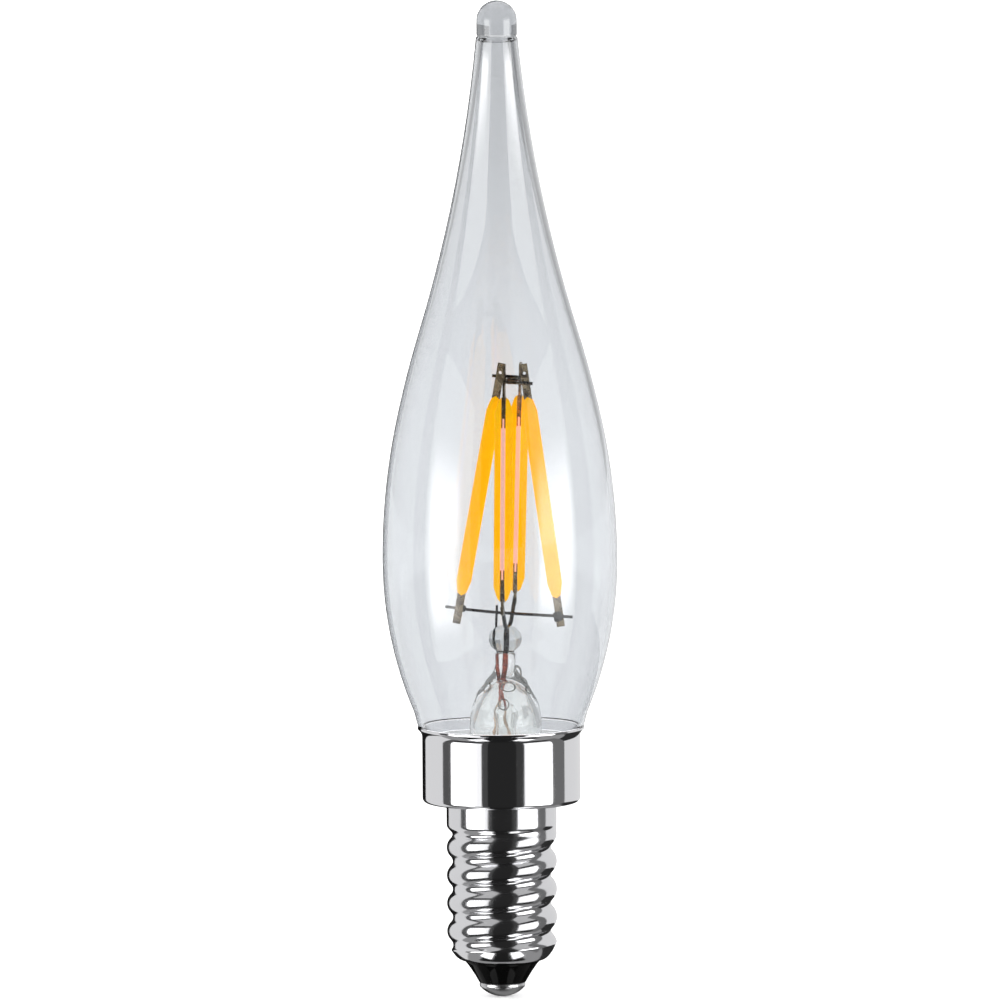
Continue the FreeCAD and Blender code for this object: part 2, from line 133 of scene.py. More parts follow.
def arc_stations(start: Station, direction: Station, ends: list[Station], step: float) -> list[Station]:
    """Points along arcs that are each tangent to the one before.

    Args:
        start: first point.
        direction: direction in which the first arc leaves.
        ends: where the arcs end.
        step: turn between points, in degrees.

    Returns:
        The points, with the first one left out.
    """
    points: list[Station] = []
    heading = Vector(direction).normalized()
    place = Vector(start)
    for end in (Vector(e) for e in ends):
        chord = (end - place).normalized()
        lean = heading.angle_signed(chord)
        count = max(2, int(abs(math.degrees(2 * lean)) / step) + 1)
        length = (end - place).length
        for n in range(1, count + 1):
            turn = lean * n / count
            reach = length * math.sin(turn) / math.sin(lean) if abs(lean) > NO_LEAN else length * n / count
            along = heading.copy()
            along.rotate(Matrix.Rotation(-turn, 2))
            points.append(tuple(place + along * reach))
        heading = chord * (2 * heading.dot(chord)) - heading
        place = end
    return points


def dome_stations(radius: float, foot: float, share: float, steps: int) -> list[Station]:
    """Quarter of an ellipse from its foot to its pole on the axis.

    Args:
        radius: radius at its foot.
        foot: height of its foot.
        share: its height as a share of its radius.
        steps: points in it.

    Returns:
        The points.
    """
    points = [(radius, foot)]
    for n in range(1, steps):
        turn = math.radians(90 * n / steps)
        points.append((radius * math.cos(turn), foot + share * radius * math.sin(turn)))
    return points + [(0.0, foot + share * radius)]


@dataclass
class Turning:
    """A turned piece, built up ring by ring along its outline.

    Args:
        name: name of the piece.
        outline: radius and height of each ring in millimetres. A radius of 0 is a pole.
        axis: place of the turning axis, in millimetres.
        segments: sides of each ring.
        ring_closed: True where the outline ends where it began.
        shade: how its faces are smoothed.
    """

    name: str
    outline: list[Station]
    axis: Station = (0.0, 0.0)
    segments: int = 96
    ring_closed: bool = False
    shade: Shade = Shade.CREASED

    def at(self, height: float) -> Vector:
        """Point of the axis at a height."""
        return Vector((self.axis[0], self.axis[1], height)) * MM

    def build(self) -> bpy.types.Object:
        """Model the piece.

        Returns:
            The finished object.
        """
        outline = list(self.outline)
        low_pole = outline.pop(0) if outline[0][0] == 0 else None
        radius, height = outline[0]
        bpy.ops.object.select_all(action="DESELECT")
        bpy.ops.mesh.primitive_circle_add(vertices=self.segments, radius=radius * MM, location=self.at(height))
        obj = bpy.context.object
        bpy.ops.object.mode_set(mode="EDIT")
        bpy.ops.mesh.select_mode(type="VERT")
        bpy.ops.mesh.select_all(action="SELECT")
        for before, after in zip(outline, outline[1:]):
            self.add_ring(before, after)
        if low_pole:
            select_first(obj, self.segments)
            self.add_ring(outline[0], low_pole)
        bpy.ops.mesh.select_all(action="SELECT")
        if self.ring_closed:
            bpy.ops.mesh.remove_doubles(threshold=WELD)
        bpy.ops.mesh.normals_make_consistent(inside=False)
        bpy.ops.object.mode_set(mode="OBJECT")
        return settle(obj, self.name, self.shade)

    def add_ring(self, before: Station, after: Station) -> None:
        """Extrude the selected ring to the next one.

        Args:
            before: radius and height of the selected ring.
            after: radius and height of the new one.
        """
        rise = (after[1] - before[1]) * MM
        bpy.ops.mesh.extrude_edges_move(TRANSFORM_OT_translate={"value": (0.0, 0.0, rise)})
        share = after[0] / before[0]
        bpy.ops.transform.resize(value=(share, share, 1.0), center_override=self.at(after[1]))
        if after[0] == 0:
            bpy.ops.mesh.merge(type="CENTER")


@dataclass
class Rod:
    """A round wire along a path with rounded bends.

    Args:
        name: name of the piece.
        path: corner points in millimetres.
        radius: half its thickness.
        bend: how far from a corner its bend begins, at most BEND_SHARE of a leg.
        sides: sides of its section.
        bend_steps: steps in a bend.
    """

    name: str
    path: list[Vector]
    radius: float
    bend: float = 0.4
    sides: int = 16
    bend_steps: int = 6

    def build(self) -> bpy.types.Object:
        """Model the wire.

        Returns:
            The finished object.
        """
        places = self.centre_line()
        start, ahead = places[0], (places[1] - places[0]).normalized()
        bpy.ops.object.select_all(action="DESELECT")
        bpy.ops.mesh.primitive_circle_add(vertices=self.sides, radius=self.radius * MM, fill_type="NGON",
                                          location=start * MM, rotation=ahead.to_track_quat("Z", "Y").to_euler())
        obj = bpy.context.object
        bpy.ops.object.transform_apply(location=True, rotation=True, scale=True)
        bpy.ops.object.mode_set(mode="EDIT")
        bpy.ops.mesh.select_all(action="SELECT")
        for here, there, beyond in zip(places, places[1:], places[2:] + [places[-1] * 2 - places[-2]]):
            bpy.ops.mesh.extrude_region_move(TRANSFORM_OT_translate={"value": tuple((there - here) * MM)})
            ahead = (there - here).normalized()
            onward = (beyond - there).normalized()
            swing = ahead.rotation_difference(onward)
            if swing.angle > NO_SWING:
                self.turn_end(obj, swing, there)
        bpy.ops.mesh.select_all(action="SELECT")
        bpy.ops.mesh.normals_make_consistent(inside=False)
        bpy.ops.object.mode_set(mode="OBJECT")
        return settle(obj, self.name, Shade.CREASED)

    def turn_end(self, obj: bpy.types.Object, swing: Quaternion, pivot: Vector) -> None:
        """Turn the selected end of the wire about its middle.

        Args:
            obj: the wire in edit mode.
            swing: the turn.
            pivot: the middle of the end, in millimetres.
        """
        mesh = bmesh.from_edit_mesh(obj.data)
        for vertex in mesh.verts:
            if vertex.select:
                vertex.co = pivot * MM + swing @ (vertex.co - pivot * MM)
        bmesh.update_edit_mesh(obj.data)

    def centre_line(self) -> list[Vector]:
        """Points of the path with its corners rounded, in millimetres."""
        places = [self.path[0]]
        for before, corner, after in zip(self.path, self.path[1:], self.path[2:]):
            back = before - corner
            ahead = after - corner
            reach = min(self.bend, back.length * BEND_SHARE, ahead.length * BEND_SHARE)
            first = corner + back.normalized() * reach
            last = corner + ahead.normalized() * reach
            for n in range(self.bend_steps + 1):
                t = n / self.bend_steps
                places.append(first * (1 - t) ** 2 + corner * 2 * t * (1 - t) + last * t ** 2)
        places.append(self.path[-1])
        return places


# Effects that several finishes share

NOISE_REACH = (0.3, 0.7)
BUMP_HEIGHT = 0.2 * MM


def new_group(name: str, inputs: dict[str, float], outputs: list[str]) -> bpy.types.NodeTree:
    """Node group with number inputs and number outputs.

    Args:
        name: name of the group.
        inputs: each input and its first value.
        outputs: names of the outputs.

    Returns:
        The empty group with its input and output nodes.
    """
    tree = bpy.data.node_groups.new(name, "ShaderNodeTree")
    for key, value in inputs.items():
        socket = tree.interface.new_socket(name=key, in_out="INPUT", socket_type="NodeSocketFloat")
        socket.default_value = value
    for key in outputs:
        tree.interface.new_socket(name=key, in_out="OUTPUT", socket_type="NodeSocketFloat")
    tree.nodes.new("NodeGroupInput").name = "in"
    tree.nodes.new("NodeGroupOutput").name = "out"
    return tree


def map_range(tree: bpy.types.NodeTree, source: bpy.types.NodeSocket, before: Station,
              after: Station = (0.0, 1.0), smooth: bool = False) -> bpy.types.NodeSocket:
    """Map a value from one range to another, held at its ends.

    Args:
        tree: the node tree.
        source: the value.
        before: the range that it comes from.
        after: the range that it goes to.
        smooth: whether it sets off and arrives softly.

    Returns:
        The mapped value.
    """
    node = tree.nodes.new("ShaderNodeMapRange")
    if smooth:
        node.interpolation_type = "SMOOTHSTEP"
    for name, value in zip(("From Min", "From Max", "To Min", "To Max"), before + after):
        node.inputs[name].default_value = value
    tree.links.new(source, node.inputs["Value"])
    return node.outputs["Result"]


def combine(tree: bpy.types.NodeTree, operation: str, *values: bpy.types.NodeSocket | float) -> bpy.types.NodeSocket:
    """Join values with a Math node.

    Args:
        tree: the node tree.
        operation: the node's operation.
        values: sockets, which are linked, and numbers, which are set.

    Returns:
        The result.
    """
    node = tree.nodes.new("ShaderNodeMath")
    node.operation = operation
    for socket, value in zip(node.inputs, values):
        if isinstance(value, float):
            socket.default_value = value
        else:
            tree.links.new(value, socket)
    return node.outputs["Value"]


def blend(tree: bpy.types.NodeTree, share: bpy.types.NodeSocket, first: Colour,
          second: Colour) -> bpy.types.NodeSocket:
    """Mix two colours.

    Args:
        tree: the node tree.
        share: how much of the second colour shows.
        first: the first colour.
        second: the second colour.

    Returns:
        The mixed colour.
    """
    node = tree.nodes.new("ShaderNodeMix")
    node.data_type = "RGBA"
    node.inputs["A"].default_value = (*first, 1.0)
    node.inputs["B"].default_value = (*second, 1.0)
    tree.links.new(share, node.inputs["Factor"])
    return node.outputs["Result"]


def object_place(tree: bpy.types.NodeTree) -> bpy.types.NodeOutputs:
    """Place on the object in metres, as outputs X, Y and Z."""
    place = tree.nodes.new("ShaderNodeTexCoord")
    split = tree.nodes.new("ShaderNodeSeparateXYZ")
    tree.links.new(place.outputs["Object"], split.inputs["Vector"])
    return split.outputs


def handling_group() -> bpy.types.NodeTree:
    """Fine smudges and waviness: a roughness that drifts over the surface and a height for a bump."""
    tree = new_group("handling", {"Scale": 60.0, "Low": 0.05, "High": 0.12}, ["Roughness", "Height"])
    nodes, links = tree.nodes, tree.links
    place = nodes.new("ShaderNodeTexCoord")
    noise = nodes.new("ShaderNodeTexNoise")
    noise.inputs["Detail"].default_value = 3.0
    links.new(place.outputs["Object"], noise.inputs["Vector"])
    links.new(nodes["in"].outputs["Scale"], noise.inputs["Scale"])
    roughness = map_range(tree, noise.outputs["Fac"], NOISE_REACH)
    links.new(nodes["in"].outputs["Low"], roughness.node.inputs["To Min"])
    links.new(nodes["in"].outputs["High"], roughness.node.inputs["To Max"])
    links.new(roughness, nodes["out"].inputs["Roughness"])
    links.new(noise.outputs["Fac"], nodes["out"].inputs["Height"])
    return tree


HANDLING = handling_group()


@dataclass(frozen=True)
class Finish:
    """A finish with a drifting roughness and a slight waviness.

    Args:
        name: name of the material.
        colour: base colour.
        metallic: 1 for bare metal.
        rough: lowest and highest roughness.
        grain: size of the drift, in patterns per metre.
        wave: strength of the waviness.
        second: colour of the patches, the base colour where there is none.
        patch: how much of the second colour shows.
        gloss: strength of the reflection of what isn't metal.
        glow: painted light: emission that brightens it where light through the glass barely reaches, though it is no
            lamp.
    """

    name: str
    colour: Colour
    metallic: float = 0.0
    rough: Station = (0.3, 0.4)
    grain: float = 200.0
    wave: float = 0.02
    second: Colour | None = None
    patch: Station = (0.45, 0.65)
    gloss: float = 0.5
    glow: float = 0.0

    def material(self) -> bpy.types.Material:
        """Make the material, or find it where it is made.

        Returns:
            The material.
        """
        name = "lamp_" + self.name
        made = bpy.data.materials.get(name)
        if made:
            return made
        made = bpy.data.materials.new(name)
        made.use_nodes = True
        made.diffuse_color = (*self.colour, 1.0)
        tree = made.node_tree
        nodes, links = tree.nodes, tree.links
        shader = nodes["Principled BSDF"]
        shader.inputs["Base Color"].default_value = (*self.colour, 1.0)
        shader.inputs["Metallic"].default_value = self.metallic
        shader.inputs["Specular IOR Level"].default_value = self.gloss
        # Emission in its own colour is painted light wherever glow is set
        shader.inputs["Emission Color"].default_value = (*self.colour, 1.0)
        shader.inputs["Emission Strength"].default_value = self.glow
        self.dress(tree, shader)
        handling = nodes.new("ShaderNodeGroup")
        handling.node_tree = HANDLING
        handling.inputs["Scale"].default_value = self.grain
        handling.inputs["Low"].default_value = self.rough[0]
        handling.inputs["High"].default_value = self.rough[1]
        bump = nodes.new("ShaderNodeBump")
        bump.inputs["Strength"].default_value = self.wave
        bump.inputs["Distance"].default_value = BUMP_HEIGHT
        links.new(handling.outputs["Roughness"], shader.inputs["Roughness"])
        links.new(handling.outputs["Height"], bump.inputs["Height"])
        links.new(bump.outputs["Normal"], shader.inputs["Normal"])
        if self.second:
            share = map_range(tree, handling.outputs["Height"], self.patch)
            links.new(blend(tree, share, self.colour, self.second), shader.inputs["Base Color"])
        return made

    def dress(self, tree: bpy.types.NodeTree, shader: bpy.types.Node) -> None:
        """Set what only some finishes have.

        Args:
            tree: the material's node tree.
            shader: its shader.
        """


@dataclass(frozen=True)
class ClearGlass(Finish):
    """Clear blown glass.

    Args:
        ior: its index of refraction.
        thick: its tint where the tail's glass is thick.
        thickens: heights between which the tint changes.
        shines: heights between which the strong reflection of the tail comes, and then goes.
        shine_ior: index of refraction of that reflection.
    """

    ior: float = 1.48
    thick: Colour | None = None
    thickens: Station = (0.070, 0.118)
    shines: tuple[Station, Station] = ((0.088, 0.106), (0.1216, 0.1210))
    shine_ior: float = 2.0

    def dress(self, tree: bpy.types.NodeTree, shader: bpy.types.Node) -> None:
        """Set the glass's own values, with a deeper tint where the tail's glass gets thick.

        Args:
            tree: the material's node tree.
            shader: its shader.
        """
        shader.inputs["Transmission Weight"].default_value = 1.0
        shader.inputs["IOR"].default_value = self.ior
        if self.thick:
            height = object_place(tree)["Z"]
            tint = blend(tree, map_range(tree, height, self.thickens), self.colour, self.thick)
            shine = combine(tree, "MULTIPLY", *(map_range(tree, height, reach) for reach in self.shines))
            tree.links.new(tint, shader.inputs["Base Color"])
            tree.links.new(shine, shader.inputs["Coat Weight"])
            shader.inputs["Coat IOR"].default_value = self.shine_ior


@dataclass(frozen=True)
class PhosphorCoat(Finish):
    """Yellow phosphor in silicone, slightly translucent.

    Args:
        scatter: share of the light that goes on inside it.
        reach: how far that light goes, in metres.
        reach_by_colour: the same for red, green and blue, as shares.
    """

    scatter: float = 0.3
    reach: float = 0.8 * MM
    reach_by_colour: Colour = (1.0, 0.5, 0.1)

    def dress(self, tree: bpy.types.NodeTree, shader: bpy.types.Node) -> None:
        """Set the silicone's own values.

        Args:
            tree: the material's node tree.
            shader: its shader.
        """
        shader.inputs["Subsurface Weight"].default_value = self.scatter
        shader.inputs["Subsurface Scale"].default_value = self.reach
        shader.inputs["Subsurface Radius"].default_value = self.reach_by_colour


BULB_GLASS = ClearGlass("bulb_glass", (0.47, 0.488, 0.51), rough=(0.0, 0.004), grain=40.0, wave=0.0,
                        thick=(0.37, 0.383, 0.40))
BULB_INSIDE = ClearGlass("bulb_inside", (1.0, 1.0, 1.0), rough=(0.0, 0.004), grain=40.0, wave=0.0)
# The stem glass's slight glow is painted light
STEM_GLASS_PAINTED_GLOW = ClearGlass("stem_glass_painted_glow", (0.96, 0.97, 0.96), rough=(0.0, 0.02), grain=260.0, wave=0.6, glow=0.05,
                        ior=1.56)
# The folds are the stem's glass tinted far darker: painted shade that makes them read as dark lines
FOLD_GLASS_PAINTED_SHADE = ClearGlass("fold_glass_painted_shade", (0.40, 0.40, 0.38), rough=(0.0, 0.02), grain=260.0, wave=0.2, ior=1.56)
KNOB_GLASS = ClearGlass("knob_glass", (0.31, 0.322, 0.338), rough=(0.0, 0.004), grain=40.0, wave=0.0)
BEAD_GLASS = ClearGlass("bead_glass", (0.82, 0.84, 0.83), rough=(0.0, 0.02), grain=500.0, wave=0.7, ior=1.56)
NICKEL = Finish("bright_nickel", (0.80, 0.80, 0.82), 1.0, (0.05, 0.10), 120.0, 0.02)
THREAD_NICKEL = Finish("thread_nickel", (0.78, 0.78, 0.80), 1.0, (0.08, 0.16), 160.0, 0.05)
CONTACT_METAL = Finish("contact_metal", (0.64, 0.64, 0.65), 1.0, (0.22, 0.36), 300.0, 0.08)
BLACK_GLASS = Finish("black_glass", (0.002, 0.002, 0.002), 0.0, (0.04, 0.10), 150.0, 0.03, gloss=0.05)
# The phosphor's glow is painted light: it brightens the coats, which light through the glass barely reaches
PHOSPHOR_PAINTED_GLOW = PhosphorCoat("phosphor", (1.0, 0.50, 0.004), 0.0, (0.35, 0.5), 900.0, 0.15, (1.0, 0.43, 0.003),
                        (0.4, 0.7), gloss=0.1, glow=0.85)
TAB_METAL = Finish("tab_metal", (0.34, 0.27, 0.17), 1.0, (0.18, 0.36), 900.0, 0.3, (0.07, 0.05, 0.035))
WIRE_METAL = Finish("wire_metal", (0.16, 0.13, 0.09), 1.0, (0.16, 0.34), 900.0, 0.2, (0.03, 0.025, 0.02), (0.4, 0.6))
LEAD_METAL = Finish("lead_metal", (0.07, 0.07, 0.07), 1.0, (0.14, 0.3), 900.0, 0.2, (0.02, 0.02, 0.02), (0.4, 0.6))
SEAL_WIRE = Finish("sealing_wire", (0.50, 0.12, 0.07), 1.0, (0.2, 0.35), 900.0, 0.1, (0.16, 0.03, 0.02))
COPPER_WIRE = Finish("tinned_copper", (0.72, 0.50, 0.34), 1.0, (0.2, 0.35), 900.0, 0.1)
# The strip's glow is painted light, which brightens it where light through the glass barely reaches
GLASS_STRIP_PAINTED_GLOW = Finish("glass_strip", (0.95, 0.60, 0.55), 0.0, (0.1, 0.2), 400.0, 0.02, glow=0.55)
LIGHT_CHIP = Finish("light_chip", (0.25, 0.30, 0.42), 0.0, (0.1, 0.2), 400.0, 0.02)
# The cements' glow is painted light: it makes them read pale where light through the glass barely reaches
CEMENT_PAINTED_GLOW = Finish("cement", (0.90, 0.89, 0.87), 0.0, (0.7, 0.9), 500.0, 0.4, glow=1.3)
CEMENT_FILM_PAINTED_GLOW = Finish("cement_film_painted_glow", (0.90, 0.90, 0.91), 0.0, (0.6, 0.8), 500.0, 0.2, glow=1.25)
PLASTIC = Finish("white_plastic", (0.82, 0.82, 0.80), 0.0, (0.4, 0.5), 200.0, 0.05)
BOARD = Finish("board", (0.03, 0.16, 0.07), 0.0, (0.3, 0.45), 300.0, 0.05)
BLACK_PLASTIC = Finish("black_plastic", (0.02, 0.02, 0.02), 0.0, (0.4, 0.55), 300.0, 0.1)
CAN = Finish("capacitor_can", (0.03, 0.035, 0.06), 0.0, (0.25, 0.4), 200.0, 0.05)
RESISTOR = Finish("resistor_body", (0.30, 0.42, 0.30), 0.0, (0.35, 0.5), 300.0, 0.05)

# The finish of each carried-over node, by how its name ends

NODE_FINISHES = {
    "strip": GLASS_STRIP_PAINTED_GLOW, "chips": LIGHT_CHIP, "phosphor": PHOSPHOR_PAINTED_GLOW, "upper_tab": TAB_METAL, "lower_tab": TAB_METAL,
    "top_bridge_wire": WIRE_METAL, "crossbar": WIRE_METAL, "inner": WIRE_METAL, "seal": SEAL_WIRE,
    "outer": COPPER_WIRE, "contact_wire": COPPER_WIRE, "shell_wire": COPPER_WIRE, "glass_envelope": BULB_GLASS,
    "glass_stem": STEM_GLASS_PAINTED_GLOW, "exhaust_tube": STEM_GLASS_PAINTED_GLOW, "base_collar": NICKEL, "screw_shell": THREAD_NICKEL,
    "centre_contact": CONTACT_METAL, "glass_insulator": BLACK_GLASS, "cement_ring": CEMENT_PAINTED_GLOW,
    "insulating_sleeve": PLASTIC, "driver_board": BOARD, "bridge_rectifier": BLACK_PLASTIC,
    "driver_chip": BLACK_PLASTIC, "smoothing_capacitor": CAN, "fuse_resistor": RESISTOR,
}


def dress(obj: bpy.types.Object, finish: Finish, *nodes: str) -> None:
    """Give a new piece its finish, its body and the nodes that it stands for.

    Args:
        obj: the new piece.
        finish: its finish.
        nodes: the nodes that it replaces.
    """
    obj.data.materials.clear()
    obj.data.materials.append(finish.material())
    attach(obj, BODY)
    if nodes:
        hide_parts(*nodes)
    log.info("%s: %d faces", obj.name, len(obj.data.polygons))


def dress_nodes() -> None:
    """Give every carried-over node its finish."""
    for name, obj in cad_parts.items():
        finish = next(finish for key, finish in NODE_FINISHES.items() if name.endswith(key))
        obj.data.materials.clear()
        obj.data.materials.append(finish.material())


# The lamp's sub-assemblies


@dataclass
class GlassBulb:
    """Blown glass envelope with a thick-walled tail and a solid knob.

    Args:
        neck: outline of the neck and of the bend over the collar's lip, from the rim upwards.
        throat: radius and height where the bulb begins.
        bulge: radius and height of its widest place.
        upper: ends of the arcs from the bulge to the end of the tail.
        groove: outline of the fine groove under the knob.
        knob_radius: radius of the knob.
        knob_foot: height of the knob's foot.
        tip: height of the tip.
        wall: wall of the bulb.
        tail_wall: wall at the end of the tail.
        wall_rise: how late the wall gets thick towards the tail's end, as a power.
        hollow_stop: how far under the tail's end the wall stops.
        dome_drop: how far under the tail's end the hollow's rounded end begins.
        dome_share: height of that end, as a share of its radius.
        dome_ease: how much wider that end is than the wall leaves room for.
        knob_margin: how far under the knob's foot its own glass begins.
    """

    neck: tuple[Station, ...] = (
        (8.7, 28.08), (8.7, 30.2), (8.72, 30.6), (9.3, 33.28), (10.05, 34.28), (10.45, 34.34), (10.50, 34.52))
    throat: Station = (10.95, 36.18)
    bulge: Station = (14.8, 55.38)
    upper: tuple[Station, ...] = ((12.93, 73.08), (10.02, 84.28), (2.65, 121.18))
    groove: tuple[Station, ...] = ((2.60, 121.36), (2.47, 121.44), (2.44, 121.52), (2.47, 121.6), (2.54, 121.68))
    knob_radius: float = 2.55
    knob_foot: float = 121.75
    tip: float = 126.0
    wall: float = 0.62
    tail_wall: float = 0.86
    wall_rise: float = 2.2
    hollow_stop: float = 0.55
    dome_drop: float = 0.5
    dome_share: float = 0.3
    dome_ease: float = 0.05
    knob_margin: float = 0.2

    def outer(self) -> list[Station]:
        """Outline from the neck's rim to the tip."""
        lower = [self.bulge] + arc_stations(self.bulge, (0.0, -1.0), [self.throat], 2.0)
        upper = arc_stations(self.bulge, (0.0, 1.0), list(self.upper), 1.0)
        knob = [(self.knob_radius, self.knob_foot)]
        knob += dome_stations(self.knob_radius, self.tip - self.knob_radius, 1.0, 16)
        return [*self.neck, *lower[::-1], *upper, *self.groove, *knob]

    def inner(self) -> list[Station]:
        """Outline of the inside, from the neck's rim to the end of the hollow."""
        end_radius, end = self.upper[-1]
        begin = self.upper[1][1]
        points = []
        for radius, height in self.outer():
            if height > end - self.hollow_stop:
                break
            rise = max(0.0, (height - begin) / (end - begin))
            points.append((radius - self.wall - (self.tail_wall - self.wall) * rise ** self.wall_rise, height))
        end_radius += self.dome_ease - self.tail_wall
        return points + dome_stations(end_radius, end - self.dome_drop, self.dome_share, 8)

    def build(self) -> None:
        """Model and dress the envelope: faces of the outside, the inside and the knob have a glass each."""
        outline = self.inner()[::-1] + self.outer()
        obj = Turning("blown_bulb", outline, segments=128, shade=Shade.ROUND).build()
        dress(obj, BULB_GLASS, "glass_envelope")
        obj.data.materials.append(BULB_INSIDE.material())
        obj.data.materials.append(KNOB_GLASS.material())
        for face in obj.data.polygons:
            normal, middle = face.normal, face.center
            inward = normal.x * middle.x + normal.y * middle.y < 0.0
            under_dome = normal.z < -0.5 and middle.z > self.upper[0][1] * MM
            knob = middle.z > (self.knob_foot - self.knob_margin) * MM
            face.material_index = 1 if inward or under_dome else 2 if knob else 0


@dataclass
class Stem:
    """Glass stem with its flange, hollow flare, pinch, rod and bead. Heights count from the neck's rim.

    Args:
        offset: how far its axis lies beside the lamp's.
        neck_rim: height of the neck's rim, which the flange is melted to.
        flange: thickness of the flange.
        flange_radius: radius of the flange.
        bore: radius of the hollow at the flange.
        flare: radius of the flare at the flange, and its height.
        tube: radius of the tube, and the height where its shoulder begins.
        shoulder: ends of the arcs from the tube to the rod.
        rod_head: outline of the rod's end.
        hollow: outline of the inside, from the port downwards.
        bead: half the bead's width and half its height.
        bead_height: height of the bead's middle.
        bead_foot: outline of the bead's foot on the rod.
        bead_low: radius where the bead's curve begins.
        bead_high: where the curve ends, in degrees above its middle.
        bead_steps: steps in the curve.
        pinch_reach: height of the pinch's middle, and how far it reaches above and below it.
        squeeze: how much the pinch flattens it.
        ripple: height of the pinch's ripples as a share, then their turns along X and along Z.
        dents: place along X and Z, width and depth of each dent of the jaws.
        folds: each rim's and fold's name, place, radii, half thickness, and lean about X and turn about Z.
    """

    offset: float = 0.6
    neck_rim: float = 28.08
    flange: float = 0.9
    flange_radius: float = 8.65
    bore: float = 3.75
    flare: Station = (6.6, 3.0)
    tube: Station = (4.55, 6.6)
    shoulder: tuple[Station, ...] = ((2.9, 11.5), (1.85, 12.8), (1.27, 14.2))
    rod_head: tuple[Station, ...] = ((1.27, 15.35), (1.18, 15.5), (0.0, 15.52))
    hollow: tuple[Station, ...] = (
        (0.0, 12.0), (0.7, 11.95), (1.3, 11.75), (1.75, 11.35), (2.2, 10.7), (2.75, 9.8), (3.3, 8.6), (3.7, 7.3),
        (3.9, 6.0), (3.85, 4.6))
    bead: Station = (2.09, 1.79)
    bead_height: float = 17.3
    bead_foot: tuple[Station, ...] = ((0.0, 15.56), (1.14, 15.58))
    bead_low: float = 1.16
    bead_high: float = 87.0
    bead_steps: int = 20
    pinch_reach: Station = (11.4, 3.4)
    squeeze: float = 0.28
    ripple: tuple[float, float, float] = (0.035, 1.4, 2.6)
    dents: tuple[tuple[float, float, float, float], ...] = (
        (-1.2, 39.6, 1.1, 0.35), (1.5, 39.2, 0.9, 0.30), (0.3, 37.4, 1.2, 0.25), (-1.9, 36.6, 1.0, 0.3),
        (2.0, 36.4, 1.0, 0.3))
    folds: tuple[tuple[str, Point, Station, float, Station], ...] = (
        ("port_rim", (2.15, -1.35, 41.3), (0.5, 0.75), 0.11, (78.0, 38.0)),
        ("front_rim", (0.95, -2.1, 39.5), (0.85, 0.6), 0.10, (66.0, 4.0)),
        ("right_fold", (2.95, -0.5, 40.15), (0.6, 0.5), 0.13, (50.0, 78.0)),
        ("low_right_fold", (3.45, -0.9, 39.0), (0.6, 0.5), 0.13, (66.0, 68.0)),
        ("left_fold", (-1.65, -1.0, 39.3), (0.5, 0.6), 0.10, (62.0, -55.0)),
        ("low_rim", (0.35, -2.85, 37.3), (0.62, 0.72), 0.07, (80.0, 0.0)))

    def raised(self, *stations: Station) -> list[Station]:
        """Stations whose heights count from the neck's rim, moved to their place in the lamp."""
        return [(radius, self.neck_rim + height) for radius, height in stations]

    def outline(self) -> list[Station]:
        """Closed outline: the hollow flare tube inside and out, then the solid pinch, rod and bead."""
        foot, shoulder_foot, *shoulder_ends = self.raised((self.tube[0], self.flare[1]), self.tube, *self.shoulder)
        rim = self.raised((self.flare[0], 0.0))
        flare = arc_stations(foot, (0.0, -1.0), rim, 10.0)
        shoulder = arc_stations(shoulder_foot, (0.0, 1.0), shoulder_ends, 5.0)
        under = self.raised((self.bore, -self.flange), (self.flange_radius, -self.flange), (self.flange_radius, 0.0))
        outside = [*under, *flare[::-1], foot, shoulder_foot, *shoulder, *self.raised(*self.rod_head)]
        return self.raised(*self.hollow) + outside

    def bead_outline(self) -> list[Station]:
        """Outline of the bead that is melted onto the rod's head."""
        middle = self.neck_rim + self.bead_height
        low = math.degrees(math.acos(self.bead_low / self.bead[0]))
        points = self.raised(*self.bead_foot)
        for n in range(self.bead_steps + 1):
            turn = math.radians(-low + (low + self.bead_high) * n / self.bead_steps)
            points.append((self.bead[0] * math.cos(turn), middle + self.bead[1] * math.sin(turn)))
        return points + [(0.0, middle + self.bead[1])]

    def pinch(self, obj: bpy.types.Object) -> None:
        """Squeeze the shoulder flat, as the pinching jaws do, and leave their dents and ripples.

        Args:
            obj: the turned stem.
        """
        middle, reach = self.neck_rim + self.pinch_reach[0], self.pinch_reach[1]
        height, along_x, along_z = self.ripple
        for vertex in obj.data.vertices:
            x, y, z = (c / MM for c in vertex.co)
            x -= self.offset
            share = max(0.0, 1.0 - abs(z - middle) / reach)
            share = share * share * (3 - 2 * share)
            y *= 1.0 - self.squeeze * share
            for dent_x, dent_z, wide, deep in self.dents:
                off = math.hypot(x - dent_x, z - dent_z) / wide
                if off < 1.0 and y < 0.0:
                    y += deep * (0.5 + 0.5 * math.cos(math.pi * off)) * min(1.0, -y)
            swell = 1.0 + height * share * math.sin(along_z * z + along_x * x)
            vertex.co = Vector((x * swell + self.offset, y * swell, z)) * MM
        obj.data.update()

    def ring(self, name: str, place: Vector, radii: Station, wall: float, tilt: Station) -> None:
        """Small rim or fold that the pinching leaves on the glass, in darker glass that is painted shade.

        Args:
            name: its name.
            place: its middle in millimetres.
            radii: half its width and half its height.
            wall: half the thickness of its rim.
            tilt: its lean about X and its turn about Z, in degrees.
        """
        bpy.ops.object.select_all(action="DESELECT")
        bpy.ops.mesh.primitive_torus_add(location=place * MM, major_radius=radii[0] * MM, minor_radius=wall * MM,
                                         major_segments=40, minor_segments=12,
                                         rotation=(math.radians(tilt[0]), 0.0, math.radians(tilt[1])))
        obj = bpy.context.object
        obj.scale = (1.0, radii[1] / radii[0], 1.0)
        dress(settle(obj, name, Shade.ROUND), FOLD_GLASS_PAINTED_SHADE)

